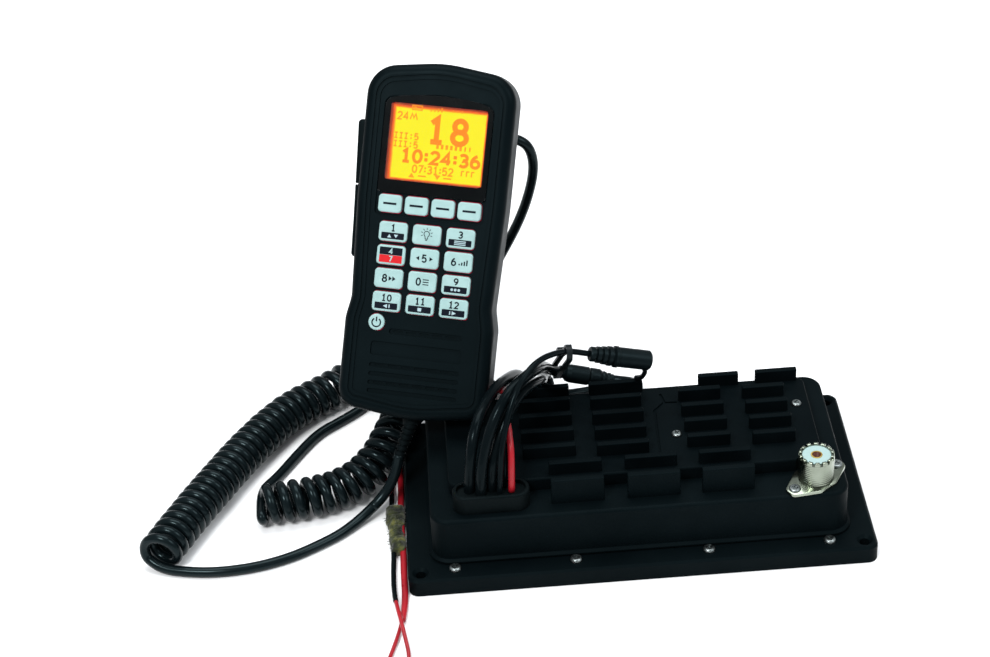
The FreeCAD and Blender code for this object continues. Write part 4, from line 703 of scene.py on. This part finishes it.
def area(name, loc, target, size, size_y, watts, color=(1, 1, 1)):
    li = bpy.data.lights.new(name, "AREA")
    li.shape = "RECTANGLE"
    li.size, li.size_y = size, size_y
    li.energy = watts
    li.color = color
    o = link(bpy.data.objects.new(name, li))
    o.location = loc
    o.rotation_mode = "QUATERNION"
    o.rotation_quaternion = (Vector(target) - Vector(loc)).to_track_quat("-Z", "Y")
    return o


TARGET = (-0.05, 0.0, 0.05)
area("key_light", (-0.75, -1.05, 1.55), TARGET, 0.55, 0.45, 28, (1.0, 1.0, 1.0))
area("fill_light", (1.15, -0.55, 1.35), TARGET, 0.8, 0.8, 12, (0.95, 0.98, 1.0))
area("top_light", (0.0, 0.45, 1.75), TARGET, 1.5, 1.1, 28, (0.97, 0.99, 1.0))

# ------------------------------------------------------------------ display
A_, B_ = "handset", "display_gloss"
win = (0.0, 40.5, 44.4, 34.6)


def lens_outline(inset=0.0, n=14):
    """The lens plate's outline: straight sides, arched top."""
    w = 24.6 - inset
    out = arc(w - 1.2, 17.4 + inset + 1.2, 1.2, 1.2, -90, 0, 4) + arc(w - 3.7, 56.2 - inset, 3.7, 3.7, 0, 74, 5)
    for k in range(1, n):
        x_ = (w - 3.0) * (1 - 2.0 * k / n)
        out.append((x_, 59.75 - inset + 2.6 * (1 - (x_ / w) ** 2)))
    out += arc(-w + 3.7, 56.2 - inset, 3.7, 3.7, 106, 180, 5) + arc(-w + 1.2, 17.4 + inset + 1.2, 1.2, 1.2, 180, 270, 4)
    return out


def plate_with_window(outer, inner, c0, c1):
    """Closed plate with one hole; both outlines are resampled by angle about the window's centre."""
    cx, cy = win[0], win[1]
    n = 96

    def ring(poly):
        got = []
        for k in range(n):
            a = 2 * math.pi * k / n + 0.01
            d = Vector((math.cos(a), math.sin(a)))
            best = None
            for i in range(len(poly)):
                p, q = Vector(poly[i]), Vector(poly[(i + 1) % len(poly)])
                e = q - p
                den = d.x * e.y - d.y * e.x
                if abs(den) < 1e-9:
                    continue
                w = Vector((p.x - cx, p.y - cy))
                t = (w.x * e.y - w.y * e.x) / den
                u = (w.x * d.y - w.y * d.x) / den
                if t > 0 and -1e-6 <= u <= 1 + 1e-6 and (best is None or t > best):
                    best = t
            got.append((cx + d.x * best, cy + d.y * best))
        return got
    o_, i_ = ring(outer), ring(inner)
    verts = []
    for poly, c in ((o_, c0), (i_, c0), (o_, c1), (i_, c1)):
        verts += [Vector((x_, y_, c)) for x_, y_ in poly]
    faces = []
    for k in range(n):
        k2 = (k + 1) % n
        faces += [(k, n + k, n + k2, k2), (2 * n + k, 2 * n + k2, 3 * n + k2, 3 * n + k),
                  (k, k2, 2 * n + k2, 2 * n + k), (n + k, 3 * n + k, 3 * n + k2, n + k2)]
    return verts, faces


pane = on_handset("display_pane", [prism(lens_outline(0.02), -1.38, -0.58)], "pane", A_)
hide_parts("display_lens")
mask = on_handset("display_mask", [plate_with_window(lens_outline(0.05), round_rect(*win, 1.2, 6), -0.575, -0.50)], "mask", A_)

# lit layer with its own UVs in mm from the window's low-left corner
gw, gh = 45.6, 35.8
gx0, gy0 = win[0] - gw / 2, win[1] - gh / 2
gm = bpy.data.meshes.new("display_glow")
c_top, c_bot = -3.02, -3.14
gv = [Vector((gx0, gy0, c_bot)), Vector((gx0 + gw, gy0, c_bot)), Vector((gx0 + gw, gy0 + gh, c_bot)), Vector((gx0, gy0 + gh, c_bot)),
      Vector((gx0, gy0, c_top)), Vector((gx0 + gw, gy0, c_top)), Vector((gx0 + gw, gy0 + gh, c_top)), Vector((gx0, gy0 + gh, c_top))]
gf = [(0, 3, 2, 1), (4, 5, 6, 7), (0, 1, 5, 4), (1, 2, 6, 5), (2, 3, 7, 6), (3, 0, 4, 7)]
gm.from_pydata([tuple(HS @ v) for v in gv], [], gf)
uv = gm.uv_layers.new(name="UVMap")
for poly in gm.polygons:
    for li in poly.loop_indices:
        v = gv[gm.loops[li].vertex_index]
        uv.data[li].uv = ((v.x - gx0) / gw, (v.y - gy0) / gh)
glow_mat = bpy.data.materials.new("display_backlight")
glow_mat.use_nodes = True
nt = glow_mat.node_tree
gb = nt.nodes["Principled BSDF"]
gb.inputs["Base Color"].default_value = (0.10, 0.07, 0.0, 1)
gb.inputs["Roughness"].default_value = 0.5
gb.inputs["Specular IOR Level"].default_value = 0.05
uvn = nt.nodes.new("ShaderNodeUVMap")
uvn.uv_map = "UVMap"
sep = nt.nodes.new("ShaderNodeSeparateXYZ")
nt.links.new(uvn.outputs["UV"], sep.inputs["Vector"])


def math_node(op, a, b_=None, clamp=False):
    n = nt.nodes.new("ShaderNodeMath")
    n.operation = op
    n.use_clamp = clamp
    for i, val in enumerate((a, b_)):
        if val is None:
            continue
        if isinstance(val, (int, float)):
            n.inputs[i].default_value = val
        else:
            nt.links.new(val, n.inputs[i])
    return n.outputs[0]


ux, uy = sep.outputs["X"], sep.outputs["Y"]
d_left = math_node("DIVIDE", math_node("SUBTRACT", math_node("MULTIPLY", ux, gw), 1.35), 1.9)
d_right = math_node("DIVIDE", math_node("SUBTRACT", gw - 0.75, math_node("MULTIPLY", ux, gw)), 1.0)
d_low = math_node("DIVIDE", math_node("SUBTRACT", math_node("MULTIPLY", uy, gh), 0.75), 1.1)
d_top = math_node("DIVIDE", math_node("SUBTRACT", gh - 1.15, math_node("MULTIPLY", uy, gh)), 1.7)
edge = math_node("MINIMUM", math_node("MINIMUM", d_left, d_right), math_node("MINIMUM", d_low, d_top), False)
wav = nt.nodes.new("ShaderNodeTexNoise")
wav.inputs["Scale"].default_value = 7.0
wav.inputs["Detail"].default_value = 1.0
nt.links.new(uvn.outputs["UV"], wav.inputs["Vector"])
edge = math_node("ADD", edge, math_node("MULTIPLY", math_node("SUBTRACT", wav.outputs["Fac"], 0.5), 0.30))
ramp = nt.nodes.new("ShaderNodeValToRGB")
cr = ramp.color_ramp
cr.elements[0].position, cr.elements[0].color = 0.0, (0.30, 0.004, 0.002, 1)
cr.elements[1].position, cr.elements[1].color = 1.0, (0.945, 0.865, 0.002, 1)
for pos, col in ((0.22, (0.80, 0.008, 0.004, 1)), (0.52, (0.95, 0.030, 0.008, 1)), (0.78, (0.96, 0.320, 0.008, 1))):
    e = cr.elements.new(pos)
    e.color = col
nt.links.new(edge, ramp.inputs["Fac"])
wide = nt.nodes.new("ShaderNodeTexNoise")
wide.inputs["Scale"].default_value = 2.6
nt.links.new(uvn.outputs["UV"], wide.inputs["Vector"])
tone = nt.nodes.new("ShaderNodeMix")
tone.data_type = "RGBA"
tone.inputs["B"].default_value = (0.93, 0.77, 0.002, 1)
inside = math_node("MULTIPLY", edge, 1.0, True)
nt.links.new(math_node("MULTIPLY", math_node("MULTIPLY", wide.outputs["Fac"], 0.35), inside), tone.inputs["Factor"])
nt.links.new(ramp.outputs["Color"], tone.inputs["A"])
nt.links.new(tone.outputs["Result"], gb.inputs["Emission Color"])
gb.inputs["Emission Strength"].default_value = 1.0
gm.materials.append(glow_mat)
glow = link(bpy.data.objects.new("display_glow", gm))
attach(glow, A_)

# generic content: a channel number, a clock, level bars and plain marks
c0, c1 = -3.02, -2.96
big = digits("18", 4.6, 47.0, 10.4, 2.4, c0, c1, aspect=1.05, gap=0.55)
big += digits("10:24:36", 2.3, 34.6, 5.2, 1.40, c0, c1, aspect=1.18, gap=0.36)
on_handset("display_digits", big, "digit", A_)
small = digits("24", -16.6, 52.2, 3.2, 0.72, c0, c1) + [ribbon([(-13.2, 50.9), (-12.4, 53.5), (-11.6, 51.6), (-10.8, 53.5), (-10.0, 50.9)], 0.6, c0, c1)]
small += digits("07:31:52", -0.8, 29.0, 3.2, 0.72, c0, c1, gap=0.36)
small += digits("5", -9.6, 43.3, 2.7, 0.68, c0, c1) + digits("5", -9.6, 39.6, 2.7, 0.68, c0, c1)
for row_b in (43.3, 39.6):
    for k in range(3):
        small.append(ribbon([(-19.6 + 2.3 * k, row_b + 1.2), (-18.2 + 2.3 * k, row_b + 1.2)], 0.62, c0, c1))
        small.append(ribbon([(-19.6 + 2.3 * k, row_b - 1.2), (-18.2 + 2.3 * k, row_b - 1.2)], 0.62, c0, c1))
        small.append(ribbon([(-18.9 + 2.3 * k, row_b - 1.2), (-18.9 + 2.3 * k, row_b + 1.2)], 0.55, c0, c1))
    small.append(prism(disc(-12.0, row_b + 0.6, 0.38, 8), c0, c1))
    small.append(prism(disc(-12.0, row_b - 0.8, 0.38, 8), c0, c1))
for k in range(8):                                            # level bar under the channel number
    small.append(ribbon([(0.4 + 2.1 * k, 38.9), (0.4 + 2.1 * k, 40.9)], 1.15 if k < 6 else 0.7, c0, c1))
small.append(ribbon([(-12.6, 55.3), (-8.2, 55.3), (-8.2, 57.2), (-12.6, 57.2)], 0.55, c0, c1, True))   # battery mark
small.append(prism(round_rect(-11.4, 56.25, 1.2, 1.0, 0.1, 2), c0, c1))
for k in range(4):
    small.append(ribbon([(-4.0 + 1.6 * k, 55.2), (-4.0 + 1.6 * k, 55.9 + 0.45 * k)], 0.7, c0, c1))
for k in range(3):
    small.append(prism(disc(6.0 + 2.0 * k, 56.1, 0.55, 10), c0, c1))
small.append(prism([(-11.6, 25.0), (-8.8, 25.0), (-10.2, 27.1)], c0, c1))
small.append(prism([(0.2, 27.1), (1.6, 25.0), (3.0, 27.1)], c0, c1))
small.append(ribbon([(-7.2, 26.0), (-3.6, 26.0)], 0.62, c0, c1))
small.append(ribbon([(4.4, 26.0), (8.0, 26.0)], 0.62, c0, c1))
for k in range(3):
    small.append(ribbon([(12.4 + 2.3 * k, 27.8), (12.4 + 2.3 * k, 30.2)], 0.62, c0, c1))
    small.append(ribbon([(12.4 + 2.3 * k, 30.0), (13.6 + 2.3 * k, 30.0)], 0.55, c0, c1))
on_handset("display_marks", small, "digit_soft", A_)

# dark cloth behind the grille's slots
on_handset("grille_cloth", [prism(round_rect(3.7, -44.7, 32.6, 1.6, 0.3, 2), -2.15, -1.95),
                            prism(round_rect(0, -66.5, 40.0, 13.8, 0.5, 2), -2.15, -1.95)], "shell", "handset")

# ------------------------------------------------------------------ key legends
PX, PY = 15.38, 10.53
T0, T1, T2 = 0.60, 0.735, 0.765           # legend solids: sunk foot, top of band, top of digits


def tri(cx, cy, w, h, way):
    if way in ("l", "r"):
        k = 1 if way == "r" else -1
        return [(cx - k * w / 2, cy - h / 2), (cx + k * w / 2, cy), (cx - k * w / 2, cy + h / 2)][::k]
    k = 1 if way == "u" else -1
    return [(cx - w / 2, cy - k * h / 2), (cx + w / 2, cy - k * h / 2), (cx, cy + k * h / 2)][::k]


def shifted(parts, x, y):
    return [([v + Vector((x, y, 0)) for v in vs], fs) for vs, fs in parts]


def lamp_icon():
    out = [ribbon(arc(0, 0.55, 1.25, 1.25, -58, 238, 16), 0.34, T0, T1)]
    out.append(ribbon([(-0.66, -0.5), (-0.5, -1.7), (0.5, -1.7), (0.66, -0.5)], 0.34, T0, T1))
    out.append(ribbon([(-0.45, -2.25), (0.45, -2.25)], 0.36, T0, T1))
    for k in range(7):
        a = math.radians(-20 + 220 * k / 6.0)
        out.append(ribbon([(1.85 * math.cos(a), 0.55 + 1.85 * math.sin(a)), (2.75 * math.cos(a), 0.55 + 2.75 * math.sin(a))], 0.30, T0, T1))
    return out


def band(y0, y1):
    return prism(round_rect(0, (y0 + y1) / 2, 10.4, y1 - y0, 0.25, 2), T0, T1)


KEY_ART = {
    (1, 1): ("1", [prism(tri(-1.5, -1.95, 1.9, 1.5, "u"), T0, T2), prism(tri(1.5, -1.95, 1.9, 1.5, "d"), T0, T2)], "dark"),
    (1, 3): ("3", [ribbon([(-2.6, -1.95 + dy), (2.6, -1.95 + dy)], 0.42, T0, T2) for dy in (-0.75, 0.0, 0.75)], "dark"),
    (3, 3): ("9", [prism(disc(-1.6, -1.95, 0.62, 12), T0, T2), prism(disc(1.6, -1.95, 0.62, 12), T0, T2),
                   prism(disc(0, -1.95, 0.62, 12), T0, T2)], "dark"),
    (4, 1): ("10", [prism(tri(-0.4, -1.95, 1.9, 1.8, "l"), T0, T2), ribbon([(1.5, -2.75), (1.5, -1.15)], 0.5, T0, T2)], "dark"),
    (4, 2): ("11", [prism(round_rect(0, -1.95, 1.7, 1.5, 0.15, 2), T0, T2)], "dark"),
    (4, 3): ("12", [prism(tri(0.4, -1.95, 1.9, 1.8, "r"), T0, T2), ribbon([(-1.5, -2.75), (-1.5, -1.15)], 0.5, T0, T2)], "dark"),
}
for r_ in range(1, 5):
    for c_ in range(1, 4):
        kx, ky = (c_ - 2) * PX, -(r_ - 1) * PY
        body = "key_%d_%d" % (r_, c_)
        dark, light, red = [], [], []
        if (r_, c_) in KEY_ART:
            num, marks, _ = KEY_ART[(r_, c_)]
            dark += digits(num, 0, 1.72, 2.7, 0.62, T0, T1, aspect=1.05)
            dark.append(band(-3.35, -0.45))
            light += marks
        elif (r_, c_) == (1, 2):
            dark += lamp_icon()
        elif (r_, c_) == (2, 1):
            dark.append(band(0.05, 3.45))
            red.append(band(-3.45, -0.05))
            light += digits("4", 0, 1.75, 2.3, 0.52, T0, T2)
            light += digits("7", 0, -1.75, 2.3, 0.52, T0, T2)
        elif (r_, c_) == (2, 2):
            dark += digits("5", 0, 0, 3.1, 0.66, T0, T1)
            dark += [prism(tri(-3.1, 0, 1.5, 2.0, "l"), T0, T1), prism(tri(3.1, 0, 1.5, 2.0, "r"), T0, T1)]
        elif (r_, c_) == (2, 3):
            dark += digits("6", -2.0, 0, 3.1, 0.66, T0, T1)
            dark += [ribbon([(0.6 + 1.15 * k, -1.3), (0.6 + 1.15 * k, -0.55 + 0.6 * k)], 0.62, T0, T1) for k in range(4)]
        elif (r_, c_) == (3, 1):
            dark += digits("8", -1.8, 0, 3.1, 0.66, T0, T1)
            dark += [prism(tri(0.8, 0, 1.5, 2.2, "r"), T0, T1), prism(tri(2.5, 0, 1.5, 2.2, "r"), T0, T1)]
        elif (r_, c_) == (3, 2):
            dark += digits("0", -1.7, 0, 3.1, 0.66, T0, T1)
            dark += [ribbon([(0.3, dy), (3.0, dy)], 0.42, T0, T1) for dy in (-1.1, 0.0, 1.1)]
        on_handset("legend_%d_%d" % (r_, c_), shifted(dark, kx, ky), "ink", body)
        if light:
            on_handset("legend_light_%d_%d" % (r_, c_), shifted(light, kx, ky), "ink_light" if not red else "key", body)
        if red:
            on_handset("legend_red_%d_%d" % (r_, c_), shifted(red, kx, ky), "ink_red", body)
for c_ in range(4):
    on_handset("legend_soft_%d" % (c_ + 1), [ribbon([((c_ - 1.5) * 12.06 - 3.0, 12.47), ((c_ - 1.5) * 12.06 + 3.0, 12.47)], 0.95, T0, T1)],
               "ink", "soft_key_%d" % (c_ + 1))
on_handset("legend_power", [ribbon([(p[0] - 19.0, p[1] - 41.2) for p in arc(0, -0.15, 1.95, 1.95, 125, 415, 22)], 0.62, T0, T1),
                            ribbon([(-19.0, -40.9), (-19.0, -38.8)], 0.62, T0, T1)], "ink", "power_key")

# ------------------------------------------------------------------ antenna socket
SOCK = Matrix.Translation(Vector((78.6, -34.2, 32.1)) * MM) @ Matrix.Rotation(math.radians(35.0), 4, "Z") @ Matrix.Scale(MM, 4)
SOCK0 = Matrix.Translation(Vector((78.6, -34.2, 32.1)) * MM) @ Matrix.Scale(MM, 4)


def threaded_barrel(r_out, r_in, z0, z1, pitch, depth, sides=120, per=8):
    """Closed tube whose outside carries a helical thread, fading at both ends."""
    n = int((z1 - z0) / pitch * per)
    verts, faces = [], []
    for i in range(n + 1):
        z = z0 + (z1 - z0) * i / n
        for k in range(sides):
            a = 2 * math.pi * k / sides
            ph = (z / pitch - a / (2 * math.pi)) % 1.0
            saw = 1 - abs(2 * ph - 1)
            fade = min(1.0, (z - z0) / 0.9, (z1 - z) / 0.7)
            r = r_out - depth * (1 - saw) * max(0.0, fade)
            if z1 - z < 0.35:
                r -= (0.35 - (z1 - z)) * 0.8
            verts.append(Vector((r * math.cos(a), r * math.sin(a), z)))
    for i in range(n):
        for k in range(sides):
            k2 = (k + 1) % sides
            faces.append((i * sides + k, i * sides + k2, (i + 1) * sides + k2, (i + 1) * sides + k))
    base = len(verts)
    for z in (z0, z1):
        for k in range(sides):
            a = 2 * math.pi * k / sides
            verts.append(Vector((r_in * math.cos(a), r_in * math.sin(a), z)))
    for k in range(sides):
        k2 = (k + 1) % sides
        faces.append((base + k, base + k2, k2, k))
        faces.append((n * sides + k, n * sides + k2, base + sides + k2, base + sides + k))
        faces.append((base + k2, base + k, base + sides + k, base + sides + k2))
    return verts, faces


def sector_tooth(r0, r1, a, half, z0, z1, lean=0.28, n=5):
    """One rim tooth: a rounded wedge of the annulus."""
    verts, faces = [], []
    levels = ((z0, 0.0, 0.0), (z1 - 0.45, 0.04, 0.02), (z1 - 0.15, 0.16, 0.10), (z1, lean + 0.12, 0.28))
    for z, shrink_r, shrink_a in levels:
        for rr in (r1 - shrink_r, r0 + shrink_r * 0.6):
            row = range(n + 1) if rr > (r0 + r1) / 2 else range(n, -1, -1)
            for k in row:
                ang = a + (half - shrink_a / r1 * 1.6) * (2.0 * k / n - 1)
                verts.append(Vector((rr * math.cos(ang), rr * math.sin(ang), z)))
    m = 2 * (n + 1)
    for lv in range(len(levels) - 1):
        for k in range(m):
            k2 = (k + 1) % m
            faces.append((lv * m + k, lv * m + k2, (lv + 1) * m + k2, (lv + 1) * m + k))
    faces.append(tuple(range(m - 1, -1, -1)))
    faces.append(tuple((len(levels) - 1) * m + k for k in range(m)))
    return verts, faces


TEETH = 14
barrel = threaded_barrel(7.94, 6.3, 1.2, 13.5, 1.058, 0.09)
teeth = [sector_tooth(6.32, 7.9, 2 * math.pi * (k + 0.25) / TEETH, math.pi / TEETH * 0.66, 13.2, 14.78) for k in range(TEETH)]
v, f = merge([barrel] + teeth)
socket_barrel = piece("socket_barrel", [SOCK0 @ p for p in v], f, "nickel")
sharp(socket_barrel, 50)


def flange_plate():
    """Two-hole flange with eased upper edge, as a stack of inset outlines."""
    rim = [(-16.05, -2.6, 2.5), (-4.5, -8.8, 5.0), (4.5, -8.8, 5.0), (16.05, -2.6, 2.5),
           (16.05, 2.6, 2.5), (4.5, 8.8, 5.0), (-4.5, 8.8, 5.0), (-16.05, 2.6, 2.5)]

    def outline(ins):
        pts = []
        n = len(rim)
        for i in range(n):
            p = Vector(rim[i][:2])
            a = (Vector(rim[i - 1][:2]) - p).normalized()
            b = (Vector(rim[(i + 1) % n][:2]) - p).normalized()
            half = a.angle(b) / 2
            r = rim[i][2]
            bis = (a + b).normalized()
            c = p + bis * (r / math.sin(half))
            s_ = p + a * (r / math.tan(half))
            e_ = p + b * (r / math.tan(half))
            a0 = math.atan2(s_.y - c.y, s_.x - c.x)
            a1 = math.atan2(e_.y - c.y, e_.x - c.x)
            if a1 < a0 - 1e-6:
                a1 += 2 * math.pi
            if a1 - a0 > math.pi:
                a0, a1 = a1 - 2 * math.pi, a0
            for k in range(7):
                t = a0 + (a1 - a0) * k / 6
                pts.append((c.x + (r - ins) * math.cos(t), c.y + (r - ins) * math.sin(t)))
        return pts
    verts, faces, m = [], [], None
    for z, ins in ((0.0, 0.0), (1.05, 0.0), (1.28, 0.10), (1.4, 0.35)):
        o_ = outline(ins)
        m = len(o_)
        verts += [Vector((x_, y_, z)) for x_, y_ in o_]
    for lv in range(3):
        for k in range(m):
            faces.append((lv * m + k, lv * m + (k + 1) % m, (lv + 1) * m + (k + 1) % m, (lv + 1) * m + k))
    faces.append(tuple(range(m - 1, -1, -1)))
    faces.append(tuple(3 * m + k for k in range(m)))
    return verts, faces


v, f = flange_plate()
socket_flange = piece("socket_flange", [SOCK @ p for p in v], f, "nickel", smooth=True)
sharp(socket_flange, 40)
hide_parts("socket_shell")
# dark reddish cup lining the split contact's hole: painted shade of the deep bore
v, f = lathe([(0, 10.7), (1.97, 10.7), (1.97, 13.85), (1.93, 13.85), (1.93, 10.9), (0, 10.9)], 40)
bore_shade_piece = piece("contact_bore", [SOCK0 @ p for p in v], f, "bore")

# strap of plug A's cap, hanging from the plug's underside to the fin below it
strap = centreline(mm([(8.2, 15.6, 63.6), (9.4, 20.5, 57.5), (9.2, 26.0, 51.0), (8.0, 29.6, 46.6), (6.2, 30.9, 45.6)]), 8)
n_s = len(strap)
v, f = sweep(strap, lambda i_, a_: (1.15 + 1.5 * max(0.0, i_ / (n_s - 1.0) - 0.62) * abs(math.sin(a_))) * MM, 14, first=(0, 0, 1))
piece("plug_strap", v, f, "nylon")

# ------------------------------------------------------------------ olive cloth wrap
def wrap_path():
    pts = [Vector((-108.6, 1.6, 3.0)), Vector((-108.9, -4.0, 3.1)), Vector((-109.1, -9.0, 3.15)), Vector((-108.9, -14.0, 3.1)),
           Vector((-108.6, -19.0, 3.0)), Vector((-108.3, -24.0, 2.9)), Vector((-108.3, -28.6, 2.6))]
    return centreline([p * MM for p in pts], 14)


wp = wrap_path()
n_w = len(wp)


def wrap_radius(i, a):
    """Flattened, lumpy section that turns with the cloth's layers."""
    u = i / (n_w - 1)
    wide = 4.35 - 1.25 * u + 0.4 * math.sin(u * 9.0)
    high = 2.75 - 0.35 * u
    r = 1.0 / math.sqrt((math.sin(a) / wide) ** 2 + (math.cos(a) / high) ** 2)
    spiral = 0.26 * (((u * 7.0 - a / (2 * math.pi)) % 1.0) - 0.5)
    lump = 0.55 * noise.noise(Vector((math.cos(a) * 1.6, math.sin(a) * 1.6, u * 8.0)))
    fine = 0.28 * noise.noise(Vector((math.cos(a) * 6, math.sin(a) * 6, u * 36.0)))
    ends = 1.0 - 0.10 * (1 if i in (0, n_w - 1) else 0)
    return max(1.6, (r + spiral + lump + fine) * ends) * MM


v, f = sweep(wp, wrap_radius, 56, first=(0, 0, 1))
v = [Vector((p.x, p.y, min(max(p.z, 0.00015), 0.0066))) for p in v]
olive = bpy.data.materials.new("olive_cloth_tape")
olive.use_nodes = True
nt2 = olive.node_tree
ob = nt2.nodes["Principled BSDF"]
ob.inputs["Roughness"].default_value = 0.86
ob.inputs["Specular IOR Level"].default_value = 0.12
ob.inputs["Sheen Weight"].default_value = 0.25
tc2 = nt2.nodes.new("ShaderNodeTexCoord")
n1 = nt2.nodes.new("ShaderNodeTexNoise")
n1.inputs["Scale"].default_value = 210.0
n1.inputs["Detail"].default_value = 5.0
nt2.links.new(tc2.outputs["Object"], n1.inputs["Vector"])
r1 = nt2.nodes.new("ShaderNodeValToRGB")
r1.color_ramp.elements[0].position, r1.color_ramp.elements[0].color = 0.36, (0.006, 0.008, 0.005, 1)
r1.color_ramp.elements[1].position, r1.color_ramp.elements[1].color = 0.72, (0.13, 0.13, 0.034, 1)
e = r1.color_ramp.elements.new(0.52)
e.color = (0.028, 0.034, 0.012, 1)
nt2.links.new(n1.outputs["Fac"], r1.inputs["Fac"])
nt2.links.new(r1.outputs["Color"], ob.inputs["Base Color"])
n2 = nt2.nodes.new("ShaderNodeTexNoise")
n2.inputs["Scale"].default_value = 1500.0
nt2.links.new(tc2.outputs["Object"], n2.inputs["Vector"])
b2 = nt2.nodes.new("ShaderNodeBump")
b2.inputs["Strength"].default_value = 0.6
b2.inputs["Distance"].default_value = 0.0002
nt2.links.new(n2.outputs["Fac"], b2.inputs["Height"])
nt2.links.new(b2.outputs["Normal"], ob.inputs["Normal"])
M["olive"] = olive
wrap = piece("cloth_wrap", v, f, "olive", replaces=("lead_wrap",))
threads = []
for k in range(70):                                            # frayed threads standing off the cloth
    i = rng.randrange(1, n_w - 1)
    a = rng.uniform(-math.pi * 0.62, math.pi * 0.62)
    t_, n_, b_ = frames(wp, (0, 0, 1))[i]
    out_ = (n_ * math.cos(a) + b_ * math.sin(a))
    r0 = wrap_radius(i, a) - 0.0003
    p0 = wp[i] + out_ * r0
    ln = rng.uniform(0.8, 2.4) * MM
    side = t_ * rng.uniform(-1, 1) + b_ * rng.uniform(-0.6, 0.6)
    pts = [p0, p0 + out_ * ln * 0.45 + side * ln * 0.4, p0 + out_ * ln * 0.7 + side * ln * 1.0]
    pts = [Vector((max(q.x, -0.1150), q.y, min(max(q.z, 0.0002), 0.0078))) for q in pts]
    threads.append(sweep(pts, lambda i_, a_: (0.00016, 0.00013, 0.00006)[i_], 5, first=(0.3, 0.2, 1)))
v, f = merge(threads)
piece("wrap_threads", v, f, "olive")
